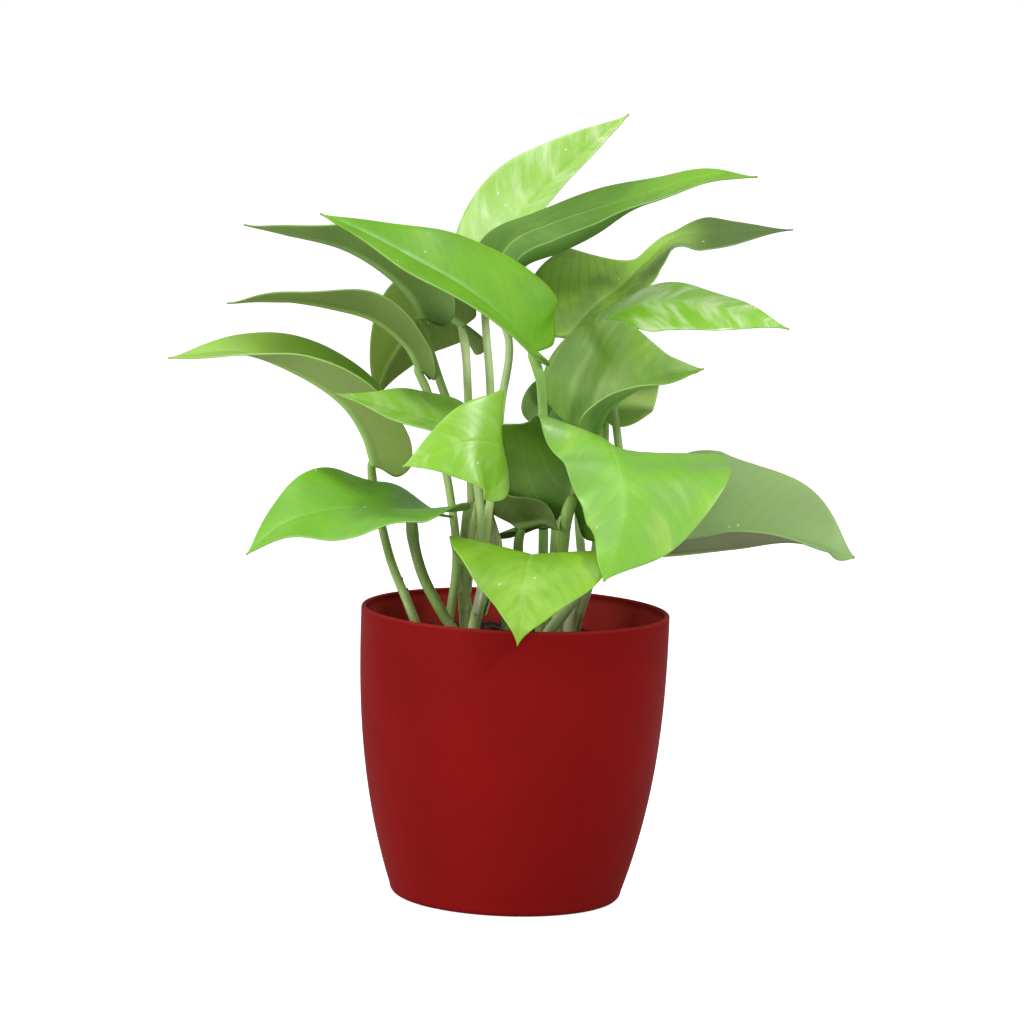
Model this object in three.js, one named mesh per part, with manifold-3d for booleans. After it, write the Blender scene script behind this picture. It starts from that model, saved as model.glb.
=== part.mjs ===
// A potted golden pothos: a young plant of nineteen heart-shaped leaves in a plain round plastic pot.
// Millimetres, +Z up, the origin at the centre of the pot's underside; -Y is the side that is looked at.
import * as THREE from "three";
import { mergeVertices } from "three/addons/utils/BufferGeometryUtils.js";
import Module from "manifold-3d";

const wasm = await Module();
wasm.setup();

// Driving dimensions
const POT_HEIGHT = 104.5;
const POT_TOP_RADIUS = 55.6;
const POT_BASE_RADIUS = 41;
const POT_BELLY = 2.55; // power of the wall's curve: high values stay upright for longer
const POT_CORNER = 3; // round between the underside and the wall
const POT_WALL = 1.8;
const POT_FLOOR = 2.6;
const SOIL_TOP = 96.4; // height of the mound's middle
const SOIL_FALL = 6; // how much lower the soil is at the wall
const SOIL_SLOPE = 1.5; // power of the mound's fall: level in the middle, steeper towards the wall
const STEM_FOOT = 86; // height of the lowest end of every stem, down in its hole
const BLADE_THICKNESS = 0.8;
const TIP_WIDTH = 0.8; // the blunt end of a leaf's tip
const WAVES = 2.2; // waves along a margin
const WAVE_SHARE = 0.02; // height of a wave, as a share of the leaf's width
const WAVE_LAG = 2.2; // radians that the left margin's waves run ahead of the right one's
const WAVE_AT_BASE = 0.3; // how much of a wave's height is there at the base already
const WAVE_GROWS = 4; // the waves are at full height after about a fifth of the midrib
const WAVE_FADES = 3; // and fade out over its last third
const FOLD_FADES = 9; // folds fade out over the last ninth of the midrib
const GAP = 0.3; // clearance between neighbours
const SEAT_AHEAD = 1.5; // how far past a leaf's base the end of its stalk is

// Where a blade's surface is divided: along the midrib, and from margin to margin
const ROWS = [0, 0.03, 0.08, 0.15, 0.24, 0.34, 0.45, 0.56, 0.67, 0.77, 0.86, 0.94, 1];
const COLUMNS = [-1, -0.84, -0.6, -0.3, 0, 0.3, 0.6, 0.84, 1];
const STEM_SIDES = 8;
const STEM_STEP = 9; // length of one straight piece of a stem
const POT_SEGMENTS = 48;
const POT_OUTSIDE_PIECES = 8; // straight pieces of the wall's curve, outside, inside and along the soil
const POT_INSIDE_PIECES = 7;
const SOIL_SIDE_PIECES = 5;

// Colours
const LIME = 0xa6d84e;
const BRIGHT = 0x78be38;
const GREEN = 0x5fa32e;
const GREY_GREEN = 0x6f9458;
const OLIVE = 0x5c7a38;
const STALK = 0x96bc6c;
const PALE_STALK = 0xbcc896;
const POT_RED = 0x8c1a1a;
const SOIL_BROWN = 0x2e2219;

// The leaf blades. rib: the midrib from the stalk to the tip. face: where the upper face looks, evenly
// spaced from base to tip. width: margin to margin, laid flat. fold: how far each half rises from flat,
// degrees, evenly spaced from base to tip. curl: how much more it has turned at the margin. right and left
// are seen from the base towards the tip with the upper face towards the eye.
const LEAVES = {
  leaf_01_top: {
    rib: [[-15, 37, 227], [-5, 44, 241], [5, 50, 254], [20, 53, 269], [35, 54, 282]],
    face: [[-0.5, -0.8, 0.3], [-0.35, -0.9, 0.2], [-0.3, -0.9, 0.2]],
    width: 40,
    left: { fold: [5], share: [1, 1.02, 1, 1] },
    right: { fold: [40, 45, 40], share: [0.7, 0.7, 0.8, 1] },
    colour: LIME,
  },
  leaf_02_upper_right: {
    rib: [[-14, 6, 223], [-6, 9, 236], [8, 12, 243], [27, 12, 250], [44, 9, 256], [62, 4, 262],
        [80, -4, 263]],
    face: [[-0.4, -0.85, 0.35], [-0.2, -0.6, 0.8], [0, -0.3, 0.95], [0, -0.35, 0.9]],
    width: 50,
    left: { fold: [-35, -25, 5, 5], share: [0.85, 0.9, 0.95, 0.7] },
    right: { fold: [-5, -10, 0, 5], curl: [130, 120, 20, 0], share: [0.8, 1.2, 1.35, 1.3] },
    lobe: 0.35,
    taper: 1.25,
    colour: BRIGHT,
  },
  leaf_03_right_twisted: {
    rib: [[15, 30, 201], [24, 36, 211], [35, 42, 220], [43, 46, 228], [55, 49, 238], [76, 50, 240],
        [97, 50, 242]],
    face: [[-0.1, -0.85, 0.4], [-0.05, -0.85, 0.45], [-0.1, -0.8, 0.5], [-0.1, -0.65, 0.7],
        [0, -0.55, 0.8], [0, -0.55, 0.8], [0, -0.55, 0.8]],
    width: 50,
    left: { fold: [5], share: [1, 1.05, 1, 0.15, 0.2, 0.75, 0.7, 0.6] },
    right: { fold: [10, 30, 50, 45, 10, 5, 5], share: [0.7, 0.8, 0.9, 1, 1, 0.8, 0.6] },
    colour: GREEN,
  },
  leaf_04_upper_left: {
    rib: [[4, -18, 199], [-1, -22, 204], [-9, -25, 212], [-23, -29, 222], [-40, -33, 231],
        [-56, -36, 239], [-73, -40, 246]],
    face: [[0.35, -0.7, 0.6], [0.35, -0.7, 0.6], [0.3, -0.7, 0.6]],
    width: 50,
    left: { fold: [45, 35, 20], share: [0.2, 0.9, 1, 1, 1] },
    right: { fold: [5], share: [1.05, 0.95, 0.89, 0.89, 0.89] },
    colour: BRIGHT,
  },
  leaf_05_left_high: {
    rib: [[-37, 6, 208], [-41, 6, 215], [-51, 4, 224], [-66, 2, 232], [-84, 0, 236], [-102, 0, 239]],
    face: [[0.8, 0.3, 0.4], [0.3, 0.2, 0.9], [0, 0.2, 1]],
    width: 40,
    left: { fold: [35, 30, 10] },
    right: { fold: [10, 10, 5] },
    lobe: 0.35,
    colour: OLIVE,
  },
  leaf_06_left_mid: {
    rib: [[-37, 2, 190], [-42, 2, 198], [-54, 0, 207], [-70, -2, 211], [-90, -4, 213], [-107, -4, 211]],
    face: [[0.8, 0.1, 0.4], [0.2, 0.12, 1], [0, 0.2, 1]],
    width: 38,
    left: { fold: [15, 25, 10] },
    right: { fold: [10, 5, 0] },
    lobe: 0.35,
    colour: OLIVE,
  },
  leaf_07_back_left: {
    rib: [[-22, 30, 204], [-32, 38, 207], [-43, 44, 198], [-50, 47, 187], [-55, 48, 173]],
    face: [[-0.2, 0.8, 0.6], [-0.3, 0.9, 0.3], [-0.5, 0.8, 0.1]],
    width: 40,
    left: { fold: [10] },
    right: { fold: [10] },
    lobe: 0.35,
    colour: OLIVE,
  },
  leaf_08_left_folded: {
    rib: [[-52, 0, 155], [-56, -2, 166], [-64, -5, 177], [-80, -6, 187], [-102, -7, 194], [-127, -8, 191]],
    face: [[0.9, -0.1, 0.2], [0.35, -0.3, 0.9], [0, -0.55, 0.85]],
    width: 44,
    left: { fold: [60, 45, 0] },
    right: { fold: [20, 20, 10] },
    colour: GREEN,
  },
  leaf_09_left_small: {
    rib: [[-18, -20, 169], [-29, -24, 173], [-43, -29, 177], [-66, -34, 183]],
    face: [[0, -0.5, 0.85]],
    width: 30,
    left: { fold: [15] },
    right: { fold: [10] },
    colour: GREEN,
  },
  leaf_10_centre_lime: {
    rib: [[-6, -34, 164], [-8, -46, 168], [-16, -53, 170], [-28, -57, 167], [-41, -60, 161]],
    face: [[0.9, -0.2, 0.3], [0.1, -0.95, 0.2], [-0.1, -0.9, 0.3], [-0.2, -0.9, 0.3]],
    width: 38,
    left: { fold: [-5, 0, -5], share: [0.95, 1.1, 1.15] },
    right: { fold: [-5], share: [1.25, 0.9, 0.9] },
    lobe: 0.15,
    colour: LIME,
  },
  leaf_11_front_arching: {
    rib: [[19, -12, 147], [21, -15, 159], [28, -26, 170], [34, -44, 162], [36, -57, 143], [30, -62, 124]],
    face: [[0.1, 0.96, 0.3], [0.1, 0.96, 0.3], [0.05, 0.7, 0.7], [0.1, -0.6, 0.75], [0, -0.9, 0.4],
        [0, -0.9, 0.4], [0, -0.9, 0.3]],
    width: 80,
    left: { fold: [-10, -10, -20, -8, 0, -5, -5], share: [0.9, 1, 1.02, 1.12, 1.25, 1.2, 1] },
    right: { fold: [0, 0, -5, -12, -25, -25, -5], share: [0.9, 0.95, 0.62, 0.5, 0.58, 0.75, 1] },
    lobe: 0.4,
    widest: 0.36,
    taper: 1.15,
    colour: BRIGHT,
  },
  leaf_12_far_right: {
    rib: [[36, 1, 127], [53, 0, 127], [78, -1, 130], [99, -2, 133], [121, -3, 128]],
    face: [[0, -0.75, 0.65]],
    width: 74,
    left: { fold: [20, 15, 10] },
    right: { fold: [65, 65, 50] },
    lobe: 0.2,
    widest: 0.42,
    taper: 1.15,
    colour: GREY_GREEN,
  },
  leaf_13_right_bright: {
    rib: [[26, 8, 207], [35, 8, 213], [49, 7, 217], [71, 5, 215], [94, 0, 209]],
    face: [[0, -0.5, 0.87], [0, -0.6, 0.8], [0.15, -0.7, 0.7]],
    width: 37,
    left: { fold: [-20, -15, 0], share: [0.7, 0.85, 0.92, 0.92] },
    right: { fold: [-5], share: [0.3, 0.8, 1.05, 0.9] },
    lobe: 0.1,
    colour: BRIGHT,
  },
  leaf_14_centre_grey: {
    rib: [[26, -4, 171], [30, -7, 179], [39, -9, 186], [50, -8, 191], [64, -4, 194]],
    face: [[-0.4, -0.8, 0.3], [-0.3, -0.85, 0.4], [0, -0.96, 0.25], [-0.1, -0.85, 0.5]],
    width: 54,
    left: { fold: [0], share: [1.2, 1.2, 1.2, 1.3, 0.7, 0.7] },
    right: { fold: [75, 75, 45], share: [0.6, 0.7, 0.75, 0.7, 0.7] },
    lobe: 0.25,
    colour: GREY_GREEN,
  },
  leaf_15_behind_right: {
    rib: [[29, 14, 175], [33, 20, 182], [41, 28, 189], [48, 34, 198]],
    face: [[-0.2, -0.8, 0.5]],
    width: 36,
    left: { fold: [10] },
    right: { fold: [10] },
    colour: BRIGHT,
  },
  leaf_16_left_low: {
    rib: [[-37, -24, 141], [-49, -27, 142], [-65, -32, 142], [-82, -38, 137], [-95, -42, 126]],
    face: [[0.15, 0, 1], [0.05, -0.35, 0.9], [-0.1, -0.6, 0.8], [-0.5, -0.6, 0.6], [-0.5, -0.6, 0.6]],
    width: 54,
    left: { fold: [25, 20, 5, 5] },
    right: { fold: [-10, -5, 5, 5] },
    lobe: 0.7,
    colour: BRIGHT,
  },
  leaf_17_over_the_lip: {
    rib: [[6, -34, 123], [5, -44, 130], [3, -56, 124], [2, -63, 113], [1, -66, 101]],
    face: [[0, 0.3, 0.95], [0, -0.6, 0.8], [0, -0.9, 0.4]],
    width: 68,
    left: { fold: [8, 5, 5], share: [1, 0.95, 0.95, 1, 0.85, 0.5] },
    right: { fold: [8, 5, 5], share: [0.9, 0.9, 0.88, 0.8, 0.65, 0.45] },
    taper: 1.2,
    colour: LIME,
  },
  leaf_18_small_dark: {
    rib: [[0, -12, 136], [4, -13, 137], [9, -16, 138], [14, -20, 136]],
    face: [[-0.2, 0.9, 0.25]],
    width: 28,
    left: { fold: [20], share: [0.35] },
    right: { fold: [5], share: [1.05] },
    lobe: 0.75,
    widest: 0.14,
    taper: 1.2,
    colour: OLIVE,
  },
  leaf_19_back_small: {
    rib: [[9, 10, 172], [12, 14, 178], [18, 20, 185], [26, 24, 192]],
    face: [[-0.2, -0.8, 0.5]],
    width: 24,
    left: { fold: [10] },
    right: { fold: [10] },
    colour: OLIVE,
  },
};

// The stems: each is a list of shoots, and a shoot is a path from its foot to its end with a radius at the
// foot and at the end. A shoot that names a leaf ends under that leaf's base, and its path leaves that
// end out.
const STEMS = {
  vine_left: {
    colour: PALE_STALK,
    shoots: [
      { path: [[-18, 2, STEM_FOOT], [-18, 2, 100], [-19, 2, 113], [-17, 4, 128],
          [-16, 6, 142]], foot: 2.6, end: 2.2 },
      { path: [[-19, 2, 112], [-17, 6, 130], [-18, 12, 150], [-20, 20, 176],
          [-22, 28, 196]], foot: 1.9, end: 1.5, leaf: "leaf_07_back_left" },
      { path: [[-19, 2, 112], [-15, 5, 130], [-13, 11, 150], [-12, 18, 178], [-15, 27, 206],
          [-16, 34, 220]], foot: 1.9, end: 1.4, leaf: "leaf_01_top" },
      { path: [[-19, 2, 112], [-14, 3, 130], [-10, 3, 150], [-8, 4, 178], [-6, 4, 200],
          [-12, 4, 216]], foot: 1.9, end: 1.4, leaf: "leaf_02_upper_right" },
    ],
  },
  vine_middle: {
    colour: PALE_STALK,
    shoots: [
      { path: [[-15, -12, STEM_FOOT], [-15, -12, 98], [-12, -13, 111],
          [-10, -14, 124]], foot: 2.4, end: 2 },
      { path: [[-13, -13, 107], [-12, -13, 124], [-14, -15, 142],
          [-17, -18, 158]], foot: 1.8, end: 1.3, leaf: "leaf_09_left_small" },
      { path: [[-13, -13, 107], [-12, -18, 126], [-11, -24, 142],
          [-9, -29, 156]], foot: 1.8, end: 1.4, leaf: "leaf_10_centre_lime" },
    ],
  },
  vine_right: {
    colour: PALE_STALK,
    shoots: [
      { path: [[20, 8, STEM_FOOT], [20, 8, 98], [24, 8, 108], [27, 9, 119],
          [28, 10, 128]], foot: 2.8, end: 2.2 },
      { path: [[25, 8, 111], [28, 7, 126], [27, 3, 146], [26, -2, 162]], foot: 1.8, end: 1.5,
          leaf: "leaf_14_centre_grey" },
      { path: [[25, 8, 111], [31, 10, 130], [32, 13, 150], [30, 14, 164]], foot: 1.8, end: 1.4,
          leaf: "leaf_15_behind_right" },
      { path: [[25, 8, 111], [33, 11, 132], [36, 7, 152], [34, 3, 169], [31, 3, 184],
          [28, 6, 196]], foot: 1.8, end: 1.4, leaf: "leaf_13_right_bright" },
      { path: [[25, 8, 111], [22, 14, 132], [20, 21, 160], [17, 26, 188]], foot: 1.8, end: 1.4,
          leaf: "leaf_03_right_twisted" },
    ],
  },
  stalk_04: {
    shoots: [{ path: [[9, 2, STEM_FOOT], [9, 2, 100], [9, 2, 128], [8, 0, 152], [7, -6, 176],
        [5, -15, 191]], foot: 2, end: 1.7, leaf: "leaf_04_upper_left" }],
  },
  stalk_05: {
    shoots: [{ path: [[-3, -4, STEM_FOOT], [-3, -4, 98], [-7, -5, 126], [-13, -3, 144], [-21, 0, 165],
        [-29, 4, 182], [-35, 6, 198]], foot: 2, end: 1.5, leaf: "leaf_05_left_high" }],
  },
  stalk_06: {
    shoots: [{ path: [[-25, -4, STEM_FOOT], [-24, -4, 98], [-22, -2, 122], [-25, 1, 144], [-30, 2, 165],
        [-34, 2, 180]], foot: 1.8, end: 1.4, leaf: "leaf_06_left_mid" }],
  },
  stalk_08: {
    shoots: [{ path: [[-35, -18, STEM_FOOT], [-35, -18, 98], [-39, -15, 108], [-45, -7, 120],
        [-50, 2, 135], [-53, 3, 147]], foot: 1.9, end: 1.5, leaf: "leaf_08_left_folded" }],
  },
  stalk_11: {
    shoots: [{ path: [[15, -10, STEM_FOOT], [15, -10, 98], [15, -12, 114], [16, -14, 130],
        [17, -16, 142]], foot: 2.3, end: 2.1, leaf: "leaf_11_front_arching" }],
  },
  stalk_12: {
    shoots: [{ path: [[10, -20, STEM_FOOT], [11, -20, 97], [17, -18, 106], [26, -11, 118],
        [33, -3, 124]], foot: 2.3, end: 1.8, leaf: "leaf_12_far_right" }],
  },
  stalk_16: {
    shoots: [{ path: [[-20, -28, STEM_FOOT], [-21, -28, 98], [-26, -28, 106], [-33, -26, 118],
        [-37, -24, 130]], foot: 2.1, end: 2, leaf: "leaf_16_left_low" }],
  },
  stalk_17: {
    shoots: [{ path: [[4, -28, STEM_FOOT], [4, -28, 98], [5, -29, 108],
        [6, -32, 116]], foot: 1.9, end: 1.6, leaf: "leaf_17_over_the_lip" }],
  },
  stalk_18: {
    shoots: [{ path: [[3, -14, STEM_FOOT], [2, -14, 98], [1, -13, 118],
        [0, -12, 130]], foot: 1.9, end: 1.6, leaf: "leaf_18_small_dark" }],
  },
  stalk_19: {
    shoots: [{ path: [[12, 12, STEM_FOOT], [12, 12, 98], [13, 10, 126], [13, 9, 148],
        [11, 9, 164]], foot: 1.8, end: 1.4, leaf: "leaf_19_back_small" }],
  },
};

// A solid from a list of points and a list of triangles that close round it.
function closedSurface(points, triangles) {
  const geometry = new THREE.BufferGeometry();
  const numbers = points.flatMap((point) => point.toArray());
  geometry.setAttribute("position", new THREE.Float32BufferAttribute(numbers, 3));
  geometry.setIndex(triangles.flat());
  return geometry;
}

// Joins and cuts work on solids, and a mesh takes the result back.
function toSolid(geometry) {
  const bare = geometry.clone();
  bare.deleteAttribute("normal");
  bare.deleteAttribute("uv");
  const merged = mergeVertices(bare, 1e-4);
  const vertProperties = new Float32Array(merged.attributes.position.array);
  const triVerts = new Uint32Array(merged.index.array);
  return new wasm.Manifold(new wasm.Mesh({ numProp: 3, vertProperties, triVerts }));
}

function toGeometry(solid) {
  const made = solid.getMesh();
  const geometry = new THREE.BufferGeometry();
  geometry.setAttribute("position", new THREE.BufferAttribute(new Float32Array(made.vertProperties), 3));
  geometry.setIndex(new THREE.BufferAttribute(new Uint32Array(made.triVerts), 1));
  return geometry;
}

// The largest body of a solid: the others are scraps that a cut leaves.
function largest(solid) {
  return solid.decompose().reduce((best, next) => (next.volume() > best.volume() ? next : best));
}

const smoothStep = (x) => x * x * (3 - 2 * x);

// The value at s, from 0 to 1, of a list that is evenly spaced over that stretch.
function along(list, s) {
  if (list.length === 1) return list[0];
  const last = list.length - 1;
  const index = Math.min(last - 1, Math.floor(s * last));
  return THREE.MathUtils.lerp(list[index], list[index + 1], smoothStep(s * last - index));
}

function directionAlong(list, s) {
  const [x, y, z] = [0, 1, 2].map((axis) => along(list.map((v) => v[axis]), s));
  return new THREE.Vector3(x, y, z);
}

function curveThrough(path) {
  return new THREE.CatmullRomCurve3(path.map((p) => new THREE.Vector3(...p)), false, "centripetal");
}

// Half the width of a leaf at s along its midrib: round lobes, widest near the base, a drawn-out tip.
function halfWidth(leaf, s) {
  const { widest = 0.26, taper = 1.3, width } = leaf;
  const lobeRound = 0.03;
  const rise = (taper * (widest + lobeRound)) / (1 - widest);
  const shape = ((s + lobeRound) / (widest + lobeRound)) ** rise * ((1 - s) / (1 - widest)) ** taper;
  return Math.max(TIP_WIDTH / 2, (width / 2) * shape);
}

// Where a half's cross-section has got to at a share t of its width: out along the blade, and up from it.
function section(side, s, t, half) {
  const { fold, curl = [0], share = [1] } = side;
  const flat = Math.min(1, FOLD_FADES * (1 - s));
  const start = flat * THREE.MathUtils.degToRad(along(fold, s));
  const turn = flat * THREE.MathUtils.degToRad(along(curl, s));
  const length = half * t * along(share, s);
  const pieces = 8;
  let out = 0;
  let up = 0;
  for (let piece = 0; piece < pieces; piece++) {
    const u = ((piece + 0.5) / pieces) * t;
    const angle = start + turn * u * u;
    out += (length * Math.cos(angle)) / pieces;
    up += (length * Math.sin(angle)) / pieces;
  }
  return [out, up];
}

// The middle surface of a blade as rows of points, each row from the left margin to the right one.
function bladeGrid(leaf) {
  const rib = curveThrough(leaf.rib);
  const { lobe = 0.3 } = leaf;
  const wave = WAVE_SHARE * leaf.width;
  return ROWS.map((s) => {
    const centre = rib.getPointAt(s);
    const ahead = rib.getTangentAt(s);
    const up = directionAlong(leaf.face, s);
    up.addScaledVector(ahead, -up.dot(ahead)).normalize();
    const right = new THREE.Vector3().crossVectors(ahead, up);
    const half = halfWidth(leaf, s);
    return COLUMNS.map((column) => {
      const t = Math.abs(column);
      const isRight = column > 0;
      const [out, rise] = section(isRight ? leaf.right : leaf.left, s, t, half);
      const calm = Math.min(1, WAVE_AT_BASE + WAVE_GROWS * s) * Math.min(1, WAVE_FADES * (1 - s));
      const ripple = wave * calm * t * t * Math.sin(2 * Math.PI * WAVES * s + (isRight ? 0 : WAVE_LAG));
      const back = lobe * (leaf.width / 2) * Math.sin((Math.PI / 2) * t) * (1 - s) ** 2;
      return centre
        .clone()
        .addScaledVector(right, out * Math.sign(column))
        .addScaledVector(up, rise + ripple)
        .addScaledVector(ahead, -back);
    });
  });
}

// The direction square to a grid of points at one of them, on the side of the upper face.
function gridNormal(grid, row, column) {
  const before = grid[Math.max(0, row - 1)][column];
  const after = grid[Math.min(grid.length - 1, row + 1)][column];
  const left = grid[row][Math.max(0, column - 1)];
  const right = grid[row][Math.min(grid[row].length - 1, column + 1)];
  const forward = after.clone().sub(before);
  return right.clone().sub(left).cross(forward).normalize();
}

// A closed blade of even thickness round a grid. Both faces are divided alike, mirrored about the midrib.
function bladeGeometry(grid, thickness) {
  const rows = grid.length;
  const columns = grid[0].length;
  const offset = (row, column, distance) =>
    grid[row][column].clone().addScaledVector(gridNormal(grid, row, column), distance);
  const points = [];
  for (const distance of [thickness / 2, -thickness / 2])
    for (let row = 0; row < rows; row++)
      for (let column = 0; column < columns; column++) points.push(offset(row, column, distance));
  const top = (row, column) => row * columns + column;
  const under = (row, column) => rows * columns + top(row, column);
  const triangles = [];
  const quad = (a, b, c, d) => triangles.push([a, b, c], [a, c, d]);
  for (let row = 0; row < rows - 1; row++)
    for (let column = 0; column < columns - 1; column++) {
      const corners = [[row, column], [row, column + 1], [row + 1, column + 1], [row + 1, column]];
      if (column < (columns - 1) / 2) corners.push(corners.shift());
      quad(...corners.map((c) => top(...c)));
      const [a, b, c, d] = corners.map((corner) => under(...corner));
      triangles.push([a, c, b], [a, d, c]);
    }
  const rim = (from, to) => quad(under(...from), under(...to), top(...to), top(...from));
  for (let column = 0; column < columns - 1; column++) {
    rim([0, column], [0, column + 1]);
    rim([rows - 1, column + 1], [rows - 1, column]);
  }
  for (let row = 0; row < rows - 1; row++) {
    rim([row, columns - 1], [row + 1, columns - 1]);
    rim([row + 1, 0], [row, 0]);
  }
  return closedSurface(points, triangles);
}

// A round stem along a curve, thinner towards its end, closed at both ends. grow adds to its radius.
function stemGeometry(curve, foot, end, grow) {
  const steps = Math.max(4, Math.round(curve.getLength() / STEM_STEP));
  const { normals, binormals } = curve.computeFrenetFrames(steps, false);
  const points = [];
  const triangles = [];
  for (let step = 0; step <= steps; step++) {
    const radius = THREE.MathUtils.lerp(foot, end, step / steps) + grow;
    const centre = curve.getPointAt(step / steps);
    if (step === 0) centre.z -= grow;
    for (let side = 0; side < STEM_SIDES; side++) {
      const angle = (2 * Math.PI * side) / STEM_SIDES;
      points.push(
        centre
          .clone()
          .addScaledVector(normals[step], radius * Math.cos(angle))
          .addScaledVector(binormals[step], radius * Math.sin(angle)),
      );
      if (step === steps) continue;
      const here = step * STEM_SIDES + side;
      const next = step * STEM_SIDES + ((side + 1) % STEM_SIDES);
      triangles.push([here, next, next + STEM_SIDES], [here, next + STEM_SIDES, here + STEM_SIDES]);
    }
  }
  const lastRing = steps * STEM_SIDES;
  for (let side = 1; side < STEM_SIDES - 1; side++) {
    triangles.push([0, side + 1, side]);
    triangles.push([lastRing, lastRing + side, lastRing + side + 1]);
  }
  return closedSurface(points, triangles);
}

// Where a stalk ends under its leaf: its side touches the blade if it comes in flat, its end if it comes
// in square.
function seat(leaf, path, radius) {
  const rib = curveThrough(leaf.rib);
  const joint = rib.getPointAt(0);
  const ahead = rib.getTangentAt(0);
  const up = directionAlong(leaf.face, 0);
  up.addScaledVector(ahead, -up.dot(ahead)).normalize();
  const arrival = joint.clone().sub(new THREE.Vector3(...path.at(-1))).normalize();
  const square = Math.abs(arrival.dot(up));
  const depth = radius * Math.sqrt(1 - square * square) + (1 - square) * (BLADE_THICKNESS / 2);
  return joint.addScaledVector(up, -depth).addScaledVector(ahead, SEAT_AHEAD).toArray();
}

// The room that a blade and the clearance round it take up.
function bladeRoom(leaf) {
  const grid = bladeGrid(leaf);
  grid[0].forEach((point, column) => {
    point.add(point.clone().sub(grid[1][column]).setLength(GAP));
  });
  return toSolid(bladeGeometry(grid, BLADE_THICKNESS + 2 * GAP));
}

// All shoots of a stem in one body. A stalk keeps GAP to the blade that it carries.
function stemSolid(stem, grow = 0) {
  const shoots = stem.shoots.map(({ path, foot, end, leaf }) => {
    const carried = LEAVES[leaf];
    const whole = carried ? [...path, seat(carried, path, end)] : path;
    const tube = toSolid(stemGeometry(curveThrough(whole), foot, end, grow));
    return carried && !grow ? largest(tube.subtract(bladeRoom(carried))) : tube;
  });
  return shoots.reduce((sum, shoot) => sum.add(shoot));
}

// Outer radius of the pot's wall at a height.
function potRadius(z) {
  return POT_TOP_RADIUS - (POT_TOP_RADIUS - POT_BASE_RADIUS) * (1 - z / POT_HEIGHT) ** POT_BELLY;
}

function wallPoints(from, to, count, inset) {
  return Array.from({ length: count + 1 }, (_, i) => {
    const z = THREE.MathUtils.lerp(from, to, i / count);
    return new THREE.Vector2(potRadius(z) - inset, z);
  });
}

function lathe(profile) {
  const geometry = new THREE.LatheGeometry(profile, POT_SEGMENTS);
  geometry.rotateX(Math.PI / 2);
  return geometry;
}

function potSolid() {
  const lip = POT_WALL / 2;
  const corner = [0, 0.5, 1].map((turn) => {
    const angle = (turn * Math.PI) / 2;
    const centre = potRadius(POT_CORNER) - POT_CORNER;
    return new THREE.Vector2(
      centre + POT_CORNER * Math.sin(angle),
      POT_CORNER - POT_CORNER * Math.cos(angle),
    );
  });
  const profile = [
    new THREE.Vector2(0, 0),
    ...corner,
    ...wallPoints(POT_CORNER, POT_HEIGHT - lip, POT_OUTSIDE_PIECES, 0).slice(1),
    new THREE.Vector2(POT_TOP_RADIUS - lip, POT_HEIGHT),
    ...wallPoints(POT_HEIGHT - lip, POT_FLOOR, POT_INSIDE_PIECES, POT_WALL),
    new THREE.Vector2(0, POT_FLOOR),
  ];
  return toSolid(lathe(profile));
}

// The soil: it fills the pot to a low mound, and each stem stands in its own hole.
function soilSolid(stems) {
  const inset = POT_WALL + GAP;
  const edge = potRadius(SOIL_TOP - SOIL_FALL) - inset;
  const mound = [1, 0.8, 0.6, 0.4, 0.2].map(
    (share) => new THREE.Vector2(edge * share, SOIL_TOP - SOIL_FALL * share ** SOIL_SLOPE),
  );
  const profile = [
    new THREE.Vector2(0, POT_FLOOR + GAP),
    ...wallPoints(POT_FLOOR + GAP, SOIL_TOP - SOIL_FALL, SOIL_SIDE_PIECES, inset).slice(0, -1),
    ...mound,
    new THREE.Vector2(0, SOIL_TOP),
  ];
  return stems.reduce((soil, stem) => soil.subtract(stemSolid(stem, GAP)), toSolid(lathe(profile)));
}

function addMesh(group, name, geometry, color, roughness) {
  const shown = geometry.toNonIndexed();
  shown.computeVertexNormals();
  const mesh = new THREE.Mesh(shown, new THREE.MeshStandardMaterial({ color, roughness, metalness: 0 }));
  mesh.name = name;
  group.add(mesh);
}

const plant = new THREE.Group();
addMesh(plant, "pot", toGeometry(potSolid()), POT_RED, 0.55);
addMesh(plant, "soil", toGeometry(soilSolid(Object.values(STEMS))), SOIL_BROWN, 0.95);
for (const [name, stem] of Object.entries(STEMS))
  addMesh(plant, name, toGeometry(stemSolid(stem)), stem.colour ?? STALK, 0.5);
for (const [name, leaf] of Object.entries(LEAVES))
  addMesh(plant, name, bladeGeometry(bladeGrid(leaf), BLADE_THICKNESS), leaf.colour, 0.4);

export default plant;
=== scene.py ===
# %% [markdown]
# A potted golden pothos.
# The imported model gives the real shapes and sizes: a pot, the soil in it, and the stems and leaf blades of
# a young plant. Here each of them gets a finer piece of the same form, with veins, streaks of lime, a waxy
# gloss, crumbs of soil and the dull skin of a moulded pot. The first step loads the frame that every piece
# is built in.

import math
import random

import bmesh
import bpy
import numpy as np
from mathutils import Matrix, Vector, noise


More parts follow.
